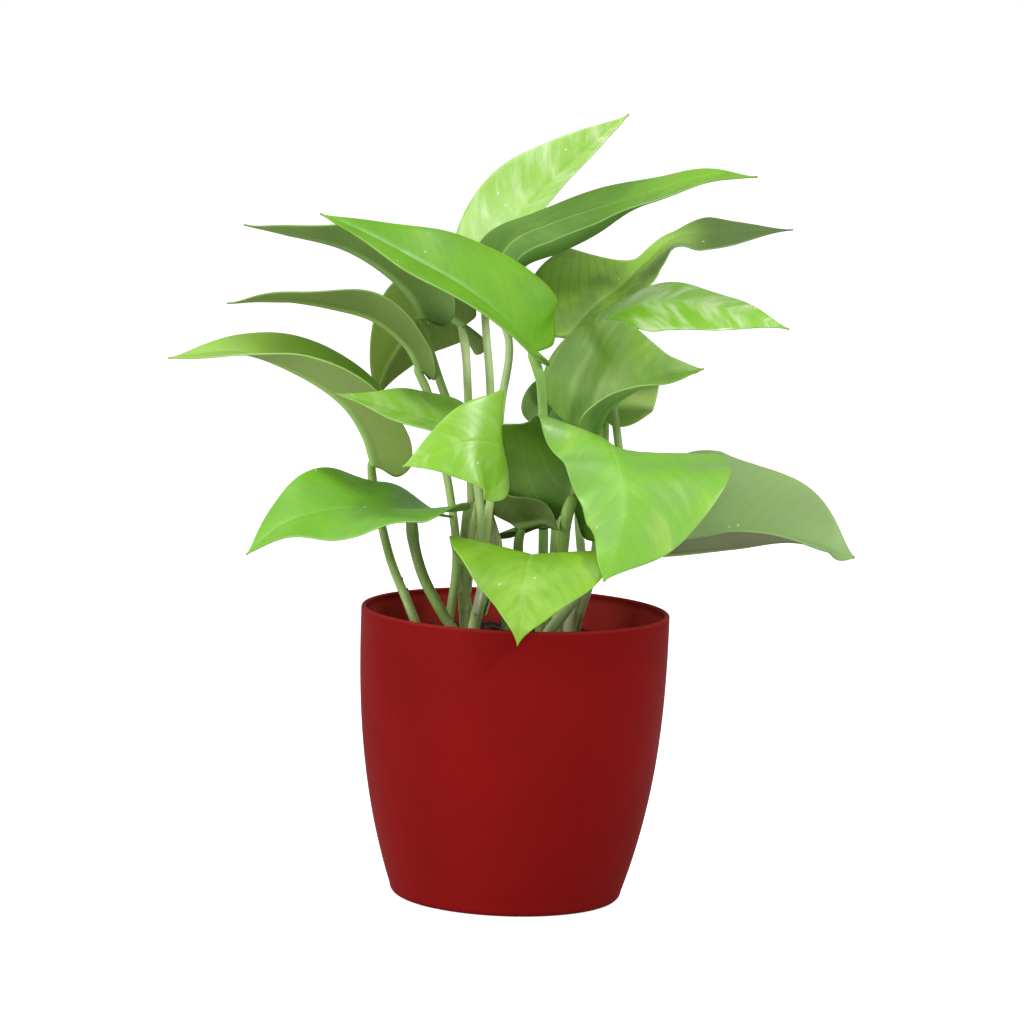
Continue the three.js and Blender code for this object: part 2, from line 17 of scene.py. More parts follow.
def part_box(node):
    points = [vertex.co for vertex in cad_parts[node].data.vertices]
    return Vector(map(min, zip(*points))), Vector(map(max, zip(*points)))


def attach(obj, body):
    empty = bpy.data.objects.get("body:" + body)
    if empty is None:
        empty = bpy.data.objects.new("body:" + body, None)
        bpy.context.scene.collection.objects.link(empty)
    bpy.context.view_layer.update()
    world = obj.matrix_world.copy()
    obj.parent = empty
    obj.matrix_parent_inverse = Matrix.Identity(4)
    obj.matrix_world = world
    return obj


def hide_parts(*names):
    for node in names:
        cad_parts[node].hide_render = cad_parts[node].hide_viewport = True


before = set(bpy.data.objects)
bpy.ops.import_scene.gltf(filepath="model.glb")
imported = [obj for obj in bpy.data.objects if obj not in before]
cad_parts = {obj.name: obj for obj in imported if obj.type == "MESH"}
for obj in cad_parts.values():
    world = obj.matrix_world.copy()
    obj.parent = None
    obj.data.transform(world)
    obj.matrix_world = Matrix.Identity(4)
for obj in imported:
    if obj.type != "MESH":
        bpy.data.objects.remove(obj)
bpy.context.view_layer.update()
scene = bpy.context.scene
MM = 0.001
print("nodes in the frame:", len(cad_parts))

# %% [markdown]
# The pot is a drinking-glass shape with walls that curve in towards the base. Its few sizes are read back
# from the frame where the frame holds them, so that the finer pot and the soil agree with the solids.

# %% sizes of the pot and the soil
pot_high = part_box("pot")[1]
POT_HEIGHT = pot_high.z / MM
POT_TOP_RADIUS = pot_high.x / MM
POT_BASE_RADIUS = 41
POT_BELLY = 2.55
POT_CORNER = 3
POT_WALL = 1.8
POT_FLOOR = 2.6
SOIL_TOP = 96.4
SOIL_FALL = 6
STEM_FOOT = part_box("stalk_04")[0].z / MM
BLADE_THICKNESS = 0.8
print("pot", round(POT_HEIGHT, 1), "mm high,", round(2 * POT_TOP_RADIUS, 1), "mm across its top")

# %% [markdown]
# The camera stands about a metre and a half away with a long lens, so the pot's rim is nearly flat, as in
# a catalogue picture. It looks down a little, and it is turned by two degrees, as the photograph is.

# %% camera
LENS_TARGET = Vector((-2.6, 0, 139.5)) * MM
LENS_DISTANCE = 1520 * MM
LENS_DOWN = math.radians(6.9)
LENS_ROLL = math.radians(2.15)
SENSOR = 36
FRAME_PIXELS = 1024
LENS_PIXELS = 4229
SEEN_METRES = 200

camera_data = bpy.data.cameras.new("camera")
camera_data.sensor_width = SENSOR
camera_data.lens = LENS_PIXELS / FRAME_PIXELS * SENSOR
camera_data.clip_end = SEEN_METRES
camera = bpy.data.objects.new("camera", camera_data)
scene.collection.objects.link(camera)
back = Vector((0, -math.cos(LENS_DOWN), math.sin(LENS_DOWN)))
level = Vector((1, 0, 0))
upright = Vector((0, math.sin(LENS_DOWN), math.cos(LENS_DOWN)))
right = level * math.cos(LENS_ROLL) + upright * math.sin(LENS_ROLL)
above = upright * math.cos(LENS_ROLL) - level * math.sin(LENS_ROLL)
turn = Matrix((right, above, back)).transposed().to_4x4()
camera.matrix_world = Matrix.Translation(LENS_TARGET + back * LENS_DISTANCE) @ turn
scene.camera = camera
print("lens", round(camera_data.lens, 1), "mm")

# %% [markdown]
# A white floor that runs out to the horizon and large soft lamps give the even light of a studio. A broad
# lamp low at the left in front reaches in under the leaves, a smaller one at the right in front throws the
# soft shadows, and a wide one overhead makes the waxy skins gleam. The room and the floor look white to
# the camera, and the floor glows a little there so that no horizon shows. They send less light back to the
# plant than they show, so that the undersides of the leaves stay dark, as on a plant that stands free in a
# room.

# %% floor and light
ROOM_LIGHT = 0.42
ROOM_SEEN = 1.0
FLOOR_HALF = 60
FLOOR_GIVES = 0.7
FLOOR_SHOWS = 0.9
FLOOR_GLOW = 0.78
LAMPS = {"left_lamp": dict(place=(-1.3, -1.0, 0.5), size=0.7, watts=12),
         "right_lamp": dict(place=(1.0, -1.0, 1.3), size=0.3, watts=13),
         "top_lamp": dict(place=(-0.6, -0.45, 1.5), size=1.4, watts=9)}


def soft_lamp(name, place, size, watts):
    lamp = bpy.data.lights.new(name, "AREA")
    lamp.shape = "DISK"
    lamp.size = size
    lamp.energy = watts
    holder = bpy.data.objects.new(name, lamp)
    holder.location = place
    holder.rotation_euler = (LENS_TARGET - Vector(place)).to_track_quat("-Z", "Y").to_euler()
    scene.collection.objects.link(holder)


def camera_only(tree, away, seen):
    """A value that is seen by the camera's own rays, and away by the rest of the light."""
    sight = tree.nodes.new("ShaderNodeLightPath")
    choice = tree.nodes.new("ShaderNodeMapRange")
    choice.inputs["To Min"].default_value = away
    choice.inputs["To Max"].default_value = seen
    tree.links.new(sight.outputs["Is Camera Ray"], choice.inputs["Value"])
    return choice.outputs["Result"]


floor_mesh = bpy.data.meshes.new("floor")
corners = [(-FLOOR_HALF, -FLOOR_HALF, 0), (FLOOR_HALF, -FLOOR_HALF, 0), (FLOOR_HALF, FLOOR_HALF, 0),
           (-FLOOR_HALF, FLOOR_HALF, 0)]
floor_mesh.from_pydata(corners, [], [(0, 1, 2, 3)])
floor = bpy.data.objects.new("floor", floor_mesh)
scene.collection.objects.link(floor)

pale = bpy.data.materials.new("pale_floor")
pale.use_nodes = True
tree = pale.node_tree
floor_shader = tree.nodes["Principled BSDF"]
floor_shader.inputs["Roughness"].default_value = 1
floor_shader.inputs["Specular IOR Level"].default_value = 0
floor_shader.inputs["Emission Color"].default_value = (1, 1, 1, 1)
tree.links.new(camera_only(tree, FLOOR_GIVES, FLOOR_SHOWS), floor_shader.inputs["Base Color"])
tree.links.new(camera_only(tree, 0, FLOOR_GLOW), floor_shader.inputs["Emission Strength"])
floor_mesh.materials.append(pale)

world = bpy.data.worlds.new("white_room")
world.use_nodes = True
tree = world.node_tree
tree.nodes["Background"].inputs["Color"].default_value = (1, 1, 1, 1)
tree.links.new(camera_only(tree, ROOM_LIGHT, ROOM_SEEN), tree.nodes["Background"].inputs["Strength"])
scene.world = world
scene.view_settings.view_transform = "Standard"
for name, lamp in LAMPS.items():
    soft_lamp(name, **lamp)
print("lamps:", list(LAMPS))

# %% [markdown]
# Each leaf is described by a few values that a maker could read off the plant: the run of its midrib,
# where its upper face looks, its width laid flat, and how far each half folds up or down and curls at the
# margin. All are in millimetres and degrees, evenly spaced from the stalk to the tip, and they are the
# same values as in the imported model. Modelling each leaf by hand would take hours and be hard to correct.

# %% the leaves
def half(fold, share=(1,), curl=(0,)):
    """One half of a blade: its fold and curl in degrees, and its width beside that of an even half."""
    return {"fold": fold, "share": share, "curl": curl}


LEAVES = {
    "leaf_01_top": dict(
        rib=[[-15, 37, 227], [-5, 44, 241], [5, 50, 254], [20, 53, 269], [35, 54, 282]],
        face=[[-0.5, -0.8, 0.3], [-0.35, -0.9, 0.2], [-0.3, -0.9, 0.2]],
        width=40, left=half([5], [1, 1.02, 1, 1]), right=half([40, 45, 40], [0.7, 0.7, 0.8, 1])),
    "leaf_02_upper_right": dict(
        rib=[[-14, 6, 223], [-6, 9, 236], [8, 12, 243], [27, 12, 250], [44, 9, 256], [62, 4, 262],
            [80, -4, 263]],
        face=[[-0.4, -0.85, 0.35], [-0.2, -0.6, 0.8], [0, -0.3, 0.95], [0, -0.35, 0.9]],
        width=50, left=half([-35, -25, 5, 5], [0.85, 0.9, 0.95, 0.7]),
        right=half([-5, -10, 0, 5], [0.8, 1.2, 1.35, 1.3], curl=[130, 120, 20, 0]), lobe=0.35, taper=1.25),
    "leaf_03_right_twisted": dict(
        rib=[[15, 30, 201], [24, 36, 211], [35, 42, 220], [43, 46, 228], [55, 49, 238], [76, 50, 240],
            [97, 50, 242]],
        face=[[-0.1, -0.85, 0.4], [-0.05, -0.85, 0.45], [-0.1, -0.8, 0.5], [-0.1, -0.65, 0.7],
            [0, -0.55, 0.8], [0, -0.55, 0.8], [0, -0.55, 0.8]],
        width=50, left=half([5], [1, 1.05, 1, 0.15, 0.2, 0.75, 0.7, 0.6]),
        right=half([10, 30, 50, 45, 10, 5, 5], [0.7, 0.8, 0.9, 1, 1, 0.8, 0.6])),
    "leaf_04_upper_left": dict(
        rib=[[4, -18, 199], [-1, -22, 204], [-9, -25, 212], [-23, -29, 222], [-40, -33, 231],
            [-56, -36, 239], [-73, -40, 246]],
        face=[[0.35, -0.7, 0.6], [0.35, -0.7, 0.6], [0.3, -0.7, 0.6]],
        width=50, left=half([45, 35, 20], [0.2, 0.9, 1, 1, 1]),
        right=half([5], [1.05, 0.95, 0.89, 0.89, 0.89])),
    "leaf_05_left_high": dict(
        rib=[[-37, 6, 208], [-41, 6, 215], [-51, 4, 224], [-66, 2, 232], [-84, 0, 236], [-102, 0, 239]],
        face=[[0.8, 0.3, 0.4], [0.3, 0.2, 0.9], [0, 0.2, 1]],
        width=40, left=half([35, 30, 10]), right=half([10, 10, 5]), lobe=0.35),
    "leaf_06_left_mid": dict(
        rib=[[-37, 2, 190], [-42, 2, 198], [-54, 0, 207], [-70, -2, 211], [-90, -4, 213], [-107, -4, 211]],
        face=[[0.8, 0.1, 0.4], [0.2, 0.12, 1], [0, 0.2, 1]],
        width=38, left=half([15, 25, 10]), right=half([10, 5, 0]), lobe=0.35),
    "leaf_07_back_left": dict(
        rib=[[-22, 30, 204], [-32, 38, 207], [-43, 44, 198], [-50, 47, 187], [-55, 48, 173]],
        face=[[-0.2, 0.8, 0.6], [-0.3, 0.9, 0.3], [-0.5, 0.8, 0.1]],
        width=40, left=half([10]), right=half([10]), lobe=0.35),
    "leaf_08_left_folded": dict(
        rib=[[-52, 0, 155], [-56, -2, 166], [-64, -5, 177], [-80, -6, 187], [-102, -7, 194],
            [-127, -8, 191]],
        face=[[0.9, -0.1, 0.2], [0.35, -0.3, 0.9], [0, -0.55, 0.85]],
        width=44, left=half([60, 45, 0]), right=half([20, 20, 10])),
    "leaf_09_left_small": dict(
        rib=[[-18, -20, 169], [-29, -24, 173], [-43, -29, 177], [-66, -34, 183]],
        face=[[0, -0.5, 0.85]],
        width=30, left=half([15]), right=half([10])),
    "leaf_10_centre_lime": dict(
        rib=[[-6, -34, 164], [-8, -46, 168], [-16, -53, 170], [-28, -57, 167], [-41, -60, 161]],
        face=[[0.9, -0.2, 0.3], [0.1, -0.95, 0.2], [-0.1, -0.9, 0.3], [-0.2, -0.9, 0.3]],
        width=38, left=half([-5, 0, -5], [0.95, 1.1, 1.15]), right=half([-5], [1.25, 0.9, 0.9]), lobe=0.15),
    "leaf_11_front_arching": dict(
        rib=[[19, -12, 147], [21, -15, 159], [28, -26, 170], [34, -44, 162], [36, -57, 143],
            [30, -62, 124]],
        face=[[0.1, 0.96, 0.3], [0.1, 0.96, 0.3], [0.05, 0.7, 0.7], [0.1, -0.6, 0.75], [0, -0.9, 0.4],
            [0, -0.9, 0.4], [0, -0.9, 0.3]],
        width=80, left=half([-10, -10, -20, -8, 0, -5, -5], [0.9, 1, 1.02, 1.12, 1.25, 1.2, 1]),
        right=half([0, 0, -5, -12, -25, -25, -5], [0.9, 0.95, 0.62, 0.5, 0.58, 0.75, 1]), lobe=0.4,
        widest=0.36, taper=1.15),
    "leaf_12_far_right": dict(
        rib=[[36, 1, 127], [53, 0, 127], [78, -1, 130], [99, -2, 133], [121, -3, 128]],
        face=[[0, -0.75, 0.65]],
        width=74, left=half([20, 15, 10]), right=half([65, 65, 50]), lobe=0.2, widest=0.42, taper=1.15),
    "leaf_13_right_bright": dict(
        rib=[[26, 8, 207], [35, 8, 213], [49, 7, 217], [71, 5, 215], [94, 0, 209]],
        face=[[0, -0.5, 0.87], [0, -0.6, 0.8], [0.15, -0.7, 0.7]],
        width=37, left=half([-20, -15, 0], [0.7, 0.85, 0.92, 0.92]),
        right=half([-5], [0.3, 0.8, 1.05, 0.9]), lobe=0.1),
    "leaf_14_centre_grey": dict(
        rib=[[26, -4, 171], [30, -7, 179], [39, -9, 186], [50, -8, 191], [64, -4, 194]],
        face=[[-0.4, -0.8, 0.3], [-0.3, -0.85, 0.4], [0, -0.96, 0.25], [-0.1, -0.85, 0.5]],
        width=54, left=half([0], [1.2, 1.2, 1.2, 1.3, 0.7, 0.7]),
        right=half([75, 75, 45], [0.6, 0.7, 0.75, 0.7, 0.7]), lobe=0.25),
    "leaf_15_behind_right": dict(
        rib=[[29, 14, 175], [33, 20, 182], [41, 28, 189], [48, 34, 198]],
        face=[[-0.2, -0.8, 0.5]],
        width=36, left=half([10]), right=half([10])),
    "leaf_16_left_low": dict(
        rib=[[-37, -24, 141], [-49, -27, 142], [-65, -32, 142], [-82, -38, 137], [-95, -42, 126]],
        face=[[0.15, 0, 1], [0.05, -0.35, 0.9], [-0.1, -0.6, 0.8], [-0.5, -0.6, 0.6], [-0.5, -0.6, 0.6]],
        width=54, left=half([25, 20, 5, 5]), right=half([-10, -5, 5, 5]), lobe=0.7),
    "leaf_17_over_the_lip": dict(
        rib=[[6, -34, 123], [5, -44, 130], [3, -56, 124], [2, -63, 113], [1, -66, 101]],
        face=[[0, 0.3, 0.95], [0, -0.6, 0.8], [0, -0.9, 0.4]],
        width=68, left=half([8, 5, 5], [1, 0.95, 0.95, 1, 0.85, 0.5]),
        right=half([8, 5, 5], [0.9, 0.9, 0.88, 0.8, 0.65, 0.45]), taper=1.2),
    "leaf_18_small_dark": dict(
        rib=[[0, -12, 136], [4, -13, 137], [9, -16, 138], [14, -20, 136]],
        face=[[-0.2, 0.9, 0.25]],
        width=28, left=half([20], [0.35]), right=half([5], [1.05]), lobe=0.75, widest=0.14, taper=1.2),
    "leaf_19_back_small": dict(
        rib=[[9, 10, 172], [12, 14, 178], [18, 20, 185], [26, 24, 192]],
        face=[[-0.2, -0.8, 0.5]],
        width=24, left=half([10]), right=half([10])),
}
print("leaves:", len(LEAVES))

# %% [markdown]
# The stems are lists of shoots. A shoot is a path from its foot to its end, with a radius at either, and
# one that names a leaf ends under that leaf. Three pale vines carry several stalks each, and the other
# stalks rise by themselves from the soil.

# %% the stems
def shoot(path, foot, end, leaf=None):
    """A rod along a path. Its radius is foot at its foot and end at its end, where it may carry a leaf."""
    return {"path": path, "foot": foot, "end": end, "leaf": leaf}


STEMS = {
    "vine_left": [
        shoot([[-18, 2, STEM_FOOT], [-18, 2, 100], [-19, 2, 113], [-17, 4, 128], [-16, 6, 142]], 2.6, 2.2),
        shoot([[-19, 2, 112], [-17, 6, 130], [-18, 12, 150], [-20, 20, 176], [-22, 28, 196]], 1.9, 1.5,
            "leaf_07_back_left"),
        shoot([[-19, 2, 112], [-15, 5, 130], [-13, 11, 150], [-12, 18, 178], [-15, 27, 206],
            [-16, 34, 220]], 1.9, 1.4, "leaf_01_top"),
        shoot([[-19, 2, 112], [-14, 3, 130], [-10, 3, 150], [-8, 4, 178], [-6, 4, 200], [-12, 4, 216]], 1.9,
            1.4, "leaf_02_upper_right"),
    ],
    "vine_middle": [
        shoot([[-15, -12, STEM_FOOT], [-15, -12, 98], [-12, -13, 111], [-10, -14, 124]], 2.4, 2),
        shoot([[-13, -13, 107], [-12, -13, 124], [-14, -15, 142], [-17, -18, 158]], 1.8, 1.3,
            "leaf_09_left_small"),
        shoot([[-13, -13, 107], [-12, -18, 126], [-11, -24, 142], [-9, -29, 156]], 1.8, 1.4,
            "leaf_10_centre_lime"),
    ],
    "vine_right": [
        shoot([[20, 8, STEM_FOOT], [20, 8, 98], [24, 8, 108], [27, 9, 119], [28, 10, 128]], 2.8, 2.2),
        shoot([[25, 8, 111], [28, 7, 126], [27, 3, 146], [26, -2, 162]], 1.8, 1.5, "leaf_14_centre_grey"),
        shoot([[25, 8, 111], [31, 10, 130], [32, 13, 150], [30, 14, 164]], 1.8, 1.4,
            "leaf_15_behind_right"),
        shoot([[25, 8, 111], [33, 11, 132], [36, 7, 152], [34, 3, 169], [31, 3, 184], [28, 6, 196]], 1.8,
            1.4, "leaf_13_right_bright"),
        shoot([[25, 8, 111], [22, 14, 132], [20, 21, 160], [17, 26, 188]], 1.8, 1.4,
            "leaf_03_right_twisted"),
    ],
    "stalk_04": [shoot([[9, 2, STEM_FOOT], [9, 2, 100], [9, 2, 128], [8, 0, 152], [7, -6, 176],
        [5, -15, 191]], 2, 1.7, "leaf_04_upper_left")],
    "stalk_05": [shoot([[-3, -4, STEM_FOOT], [-3, -4, 98], [-7, -5, 126], [-13, -3, 144], [-21, 0, 165],
        [-29, 4, 182], [-35, 6, 198]], 2, 1.5, "leaf_05_left_high")],
    "stalk_06": [shoot([[-25, -4, STEM_FOOT], [-24, -4, 98], [-22, -2, 122], [-25, 1, 144], [-30, 2, 165],
        [-34, 2, 180]], 1.8, 1.4, "leaf_06_left_mid")],
    "stalk_08": [shoot([[-35, -18, STEM_FOOT], [-35, -18, 98], [-39, -15, 108], [-45, -7, 120],
        [-50, 2, 135], [-53, 3, 147]], 1.9, 1.5, "leaf_08_left_folded")],
    "stalk_11": [shoot([[15, -10, STEM_FOOT], [15, -10, 98], [15, -12, 114], [16, -14, 130],
        [17, -16, 142]], 2.3, 2.1, "leaf_11_front_arching")],
    "stalk_12": [shoot([[10, -20, STEM_FOOT], [11, -20, 97], [17, -18, 106], [26, -11, 118], [33, -3, 124]],
        2.3, 1.8, "leaf_12_far_right")],
    "stalk_16": [shoot([[-20, -28, STEM_FOOT], [-21, -28, 98], [-26, -28, 106], [-33, -26, 118],
        [-37, -24, 130]], 2.1, 2, "leaf_16_left_low")],
    "stalk_17": [shoot([[4, -28, STEM_FOOT], [4, -28, 98], [5, -29, 108], [6, -32, 116]], 1.9, 1.6,
        "leaf_17_over_the_lip")],
    "stalk_18": [shoot([[3, -14, STEM_FOOT], [2, -14, 98], [1, -13, 118], [0, -12, 130]], 1.9, 1.6,
        "leaf_18_small_dark")],
    "stalk_19": [shoot([[12, 12, STEM_FOOT], [12, 12, 98], [13, 10, 126], [13, 9, 148], [11, 9, 164]], 1.8,
        1.4, "leaf_19_back_small")],
}
SHOOTS = [each for shoots in STEMS.values() for each in shoots]
print("stems:", len(STEMS), "with", len(SHOOTS), "shoots")

# %% [markdown]
# Every leaf and stem follows one smooth line: the midrib of a blade, or the middle of a stalk. The line
# goes through a few points and bends evenly between them. A Bezier curve object could do the same, but
# here the blades need the exact place and direction at any share of the length, so the line is worked out
# in numbers.

# %% a smooth line through a few points
LINE_PIECES = 60
AHEAD_STEP = 0.004


class Line:
    """A smooth line through a path, asked by its share of the whole length."""

    def __init__(self, path):
        knots = np.array(path, float)
        knots = np.vstack([2 * knots[0] - knots[1], knots, 2 * knots[-1] - knots[-2]])
        u = np.linspace(0, 1, LINE_PIECES, endpoint=False)[:, None]
        dense = []
        for a, b, c, d in zip(knots, knots[1:], knots[2:], knots[3:]):
            ab, bc, cd = (np.linalg.norm(step) ** 0.5 for step in (b - a, c - b, d - c))
            leave = ((b - a) / ab - (c - a) / (ab + bc) + (c - b) / bc) * bc
            arrive = ((c - b) / bc - (d - b) / (bc + cd) + (d - c) / cd) * bc
            dense.append(b + leave * u + (3 * (c - b) - 2 * leave - arrive) * u**2
                         + (2 * (b - c) + leave + arrive) * u**3)
        self.points = np.vstack([*dense, knots[-2]])
        steps = np.linalg.norm(np.diff(self.points, axis=0), axis=1)
        self.reach = np.concatenate([[0], np.cumsum(steps)])
        self.length = self.reach[-1]

    def at(self, share):
        place = np.asarray(share) * self.length
        return np.stack([np.interp(place, self.reach, axis) for axis in self.points.T], -1)

    def ahead(self, share):
        share = np.asarray(share, float)
        return unit(self.at(np.minimum(share + AHEAD_STEP, 1)) - self.at(np.maximum(share - AHEAD_STEP, 0)))


def unit(vectors):
    return vectors / np.linalg.norm(vectors, axis=-1, keepdims=True)


def along(values, share):
    """The value at each share, from 0 to 1, of a list that is evenly spaced over that stretch."""
    values = np.array(values, float)
    share = np.asarray(share, float)
    if len(values) == 1:
        return np.broadcast_to(values[0], share.shape + values.shape[1:])
    place = share * (len(values) - 1)
    index = np.minimum(len(values) - 2, place.astype(int))
    part = place - index
    part = part * part * (3 - 2 * part)
    if values.ndim == 2:
        part = part[..., None]
    return values[index] * (1 - part) + values[index + 1] * part


print("the midrib of the top leaf is", round(Line(LEAVES["leaf_01_top"]["rib"]).length, 1), "mm long")

# %% [markdown]
# A blade is a heart shape laid over its midrib. Each half starts at the midrib, rises or falls by a fold
# angle, may curl on towards the margin, and ripples a little there. The lobes reach back past the stalk. A
# flat cut-out bent by modifiers could give a heart, but not nineteen different twists, so the surface is
# written as a sheet of points, from the left margin to the right one and from the stalk to the tip.

# %% the sheet of a blade
WAVES = 2.2
WAVE_SHARE = 0.02
WAVE_LAG = 2.2
TIP_HALF = 0.4
LOBE_ROUND = 0.03
FOLD_PIECES = 8
CORNER_REACH = 0.05
CORNER_SHARE = 0.45
USUAL_FORM = {"widest": 0.26, "taper": 1.3, "lobe": 0.3}
FOLD_FADES = 9
WAVE_AT_BASE = 0.3
WAVE_GROWS = 4
WAVE_FADES = 3


def half_width(leaf, share):
    widest, taper = leaf["widest"], leaf["taper"]
    rise = taper * (widest + LOBE_ROUND) / (1 - widest)
    shape = ((share + LOBE_ROUND) / (widest + LOBE_ROUND)) ** rise * ((1 - share) / (1 - widest)) ** taper
    return np.maximum(TIP_HALF, leaf["width"] / 2 * shape)


def blade_column(leaf, line, share, place):
    """The points of one column of the sheet, and how far they are from the midrib and from the margin."""
    a = abs(place)
    side = leaf["right"] if place > 0 else leaf["left"]
    ahead = line.ahead(share)
    up = along(leaf["face"], share)
    up = unit(up - (up * ahead).sum(-1, keepdims=True) * ahead)
    right = np.cross(ahead, up)
    flat = np.minimum(1, FOLD_FADES * (1 - share))
    fold = np.radians(along(side["fold"], share)) * flat
    curl = np.radians(along(side["curl"], share)) * flat
    wide = half_width(leaf, share) * along(side["share"], share)
    u = (np.arange(FOLD_PIECES) + 0.5) / FOLD_PIECES * a
    angle = fold[:, None] + curl[:, None] * u**2
    out = wide * a * np.cos(angle).mean(1)
    rise = wide * a * np.sin(angle).mean(1)
    calm = np.minimum(1, WAVE_GROWS * share + WAVE_AT_BASE) * np.minimum(1, WAVE_FADES * (1 - share))
    lag = 0 if place > 0 else WAVE_LAG
    rise = rise + WAVE_SHARE * leaf["width"] * calm * a**2 * np.sin(2 * np.pi * WAVES * share + lag)
    back = leaf["lobe"] * leaf["width"] / 2 * math.sin(math.pi / 2 * a) * (1 - share) ** 2
    points = (line.at(share) + right * (out * np.sign(place))[:, None] + up * rise[:, None]
              - ahead * back[:, None])
    return points, wide * a, wide * (1 - a)


def blade_sheet(leaf, shares, places):
    """Points, share of the length, distance from the midrib and from the margin: all [row, column]."""
    leaf = {**USUAL_FORM, **leaf}
    line = Line(leaf["rib"])
    points, share_at, aside, edge = [], [], [], []
    for place in places:
        corner = max(0, (abs(place) - 1 + CORNER_SHARE) / CORNER_SHARE)
        start = CORNER_REACH * (1 - math.sqrt(1 - corner**2))
        share = start + (1 - start) * shares
        column, out, left_over = blade_column(leaf, line, share, place)
        points.append(column)
        share_at.append(share)
        aside.append(out)
        edge.append(left_over)
    return [np.stack(part, 1) for part in (points, share_at, aside, edge)] + [line.length]


print("the widest leaf is", max(leaf["width"] for leaf in LEAVES.values()), "mm across, laid flat")

# %% [markdown]
# Close up, a pothos leaf is a little quilted. The midrib is a shallow channel above and a round keel
# below, and finer side veins leave it at a slant and bend towards the tip. The margin is thin and rounded.
# A bump texture can draw veins, but not the keel, which shows in the outline. So the two faces of the
# blade are moved apart by half its thickness, and the channel, the keel and the side veins are added in
# the mesh.

# %% relief of the two faces
VEIN_SLANT = 0.75
VEIN_BEND = 0.012
VEIN_WIDTH = 0.13
CHANNEL_DEPTH = 0.22
CHANNEL_WIDTH = 0.9
VEINS_ACROSS = 11
VEIN_SPACING = 2.6
VEIN_STARTS = 2
VEIN_ENDS = 4
VEIN_FADES = 8
VEIN_SUNK = 0.03
VEIN_RAISED = 0.04
RIB_FADES = 6
RIB_RAISED = 0.3
KEEL_LEAST = 0.5
KEEL_WIDTH = 0.55
MARGIN_THICKNESS = 0.35
EDGE_ROUND = 1.2


def vein_turn(leaf, share, aside, length):
    """Counts the side veins along the blade: it passes a whole number and a half at the middle of each."""
    spacing = max(VEIN_SPACING, leaf["width"] / VEINS_ACROSS)
    return (share * length - VEIN_SLANT * aside - VEIN_BEND * aside**2) / spacing


def face_offsets(leaf, share, aside, edge, length, keel):
    rounded = np.clip(edge / EDGE_ROUND, 0, 1)
    thick = BLADE_THICKNESS / 2 * (
        MARGIN_THICKNESS + (1 - MARGIN_THICKNESS) * np.sqrt(rounded * (2 - rounded)))
    turn = vein_turn(leaf, share, aside, length)
    vein = np.exp(-(((turn % 1) - 0.5) / VEIN_WIDTH) ** 2)
    vein = vein * np.clip(aside / VEIN_STARTS, 0, 1) * np.clip((edge - 1) / VEIN_ENDS, 0, 1)
    vein = vein * np.clip(VEIN_FADES * (1 - share), 0, 1)
    fade = np.clip(RIB_FADES * (1 - share), 0, 1)
    channel = CHANNEL_DEPTH * np.exp(-((aside / CHANNEL_WIDTH) ** 2)) * fade
    keel_width = KEEL_LEAST + KEEL_WIDTH * keel * (1 - share)
    ridge = (keel * (1 - share) ** 2 + RIB_RAISED * fade) * np.exp(-((aside / keel_width) ** 2))
    upper = thick - channel - VEIN_SUNK * vein
    under = thick + ridge + VEIN_RAISED * vein
    return upper, under, turn


print("side veins of the top leaf:", round(LEAVES["leaf_01_top"]["width"] / VEINS_ACROSS, 1), "mm apart")

# %% [markdown]
# The two faces are sewn together along the margin into one closed skin. Each point also carries what the
# paint needs later: how far along the leaf it is, how far from the midrib and from the margin in
# millimetres, the count of the side veins, and whether it is on the upper face. Mesh attributes keep this
# exact, where a picture wrapped over the leaf would blur it.

# %% one closed skin for each blade
ROW_COUNT = 76
COLUMN_COUNT = 22
EDGE_COLUMNS = (0.985, 0.996)
ROW_CROWDING = 0.06
COLUMN_CROWDING = 1.5


def sheet_grid():
    """Shares from the stalk to the tip, and places from margin to margin, closest at midrib and margin."""
    rows = np.linspace(0, 1, ROW_COUNT)
    shares = rows - ROW_CROWDING * np.sin(2 * np.pi * rows) / np.pi
    outward = list((np.arange(1, COLUMN_COUNT + 1) / COLUMN_COUNT) ** COLUMN_CROWDING)
    outward = outward[:-1] + [*EDGE_COLUMNS, 1.0]
    return shares, np.array([-place for place in reversed(outward)] + [0.0] + outward)


def mesh_piece(name, points, faces, values=None):
    """A smooth mesh object from points in millimetres, with one number at each point for every value."""
    mesh = bpy.data.meshes.new(name)
    mesh.from_pydata([tuple(point) for point in np.asarray(points) * MM], [], faces)
    mesh.shade_smooth()
    for label, numbers in (values or {}).items():
        layer = mesh.attributes.new(label, "FLOAT", "POINT")
        layer.data.foreach_set("value", np.asarray(numbers, np.float32).ravel())
    piece = bpy.data.objects.new(name, mesh)
    scene.collection.objects.link(piece)
    return piece


def sheet_normals(points):
    forward = np.gradient(points, axis=0)
    sideways = np.gradient(points, axis=1)
    return unit(np.cross(sideways, forward))


def quads(*corners):
    """Four-sided faces from four grids of corner numbers."""
    return np.stack(corners, -1).reshape(-1, 4).tolist()


def sewn_faces(rows, columns):
    """Quads for an upper and an under grid of points, joined all round."""
    top = np.arange(rows * columns).reshape(rows, columns)
    under = top + rows * columns
    faces = quads(top[:-1, :-1], top[:-1, 1:], top[1:, 1:], top[1:, :-1])
    faces += quads(under[:-1, :-1], under[1:, :-1], under[1:, 1:], under[:-1, 1:])
    ring = [*top[0, :-1], *top[:-1, -1], *top[-1, :0:-1], *top[:0:-1, 0]]
    for here, after in zip(ring, ring[1:] + ring[:1]):
        low = rows * columns
        faces.append([int(after), int(here), int(here + low), int(after + low)])
    return faces


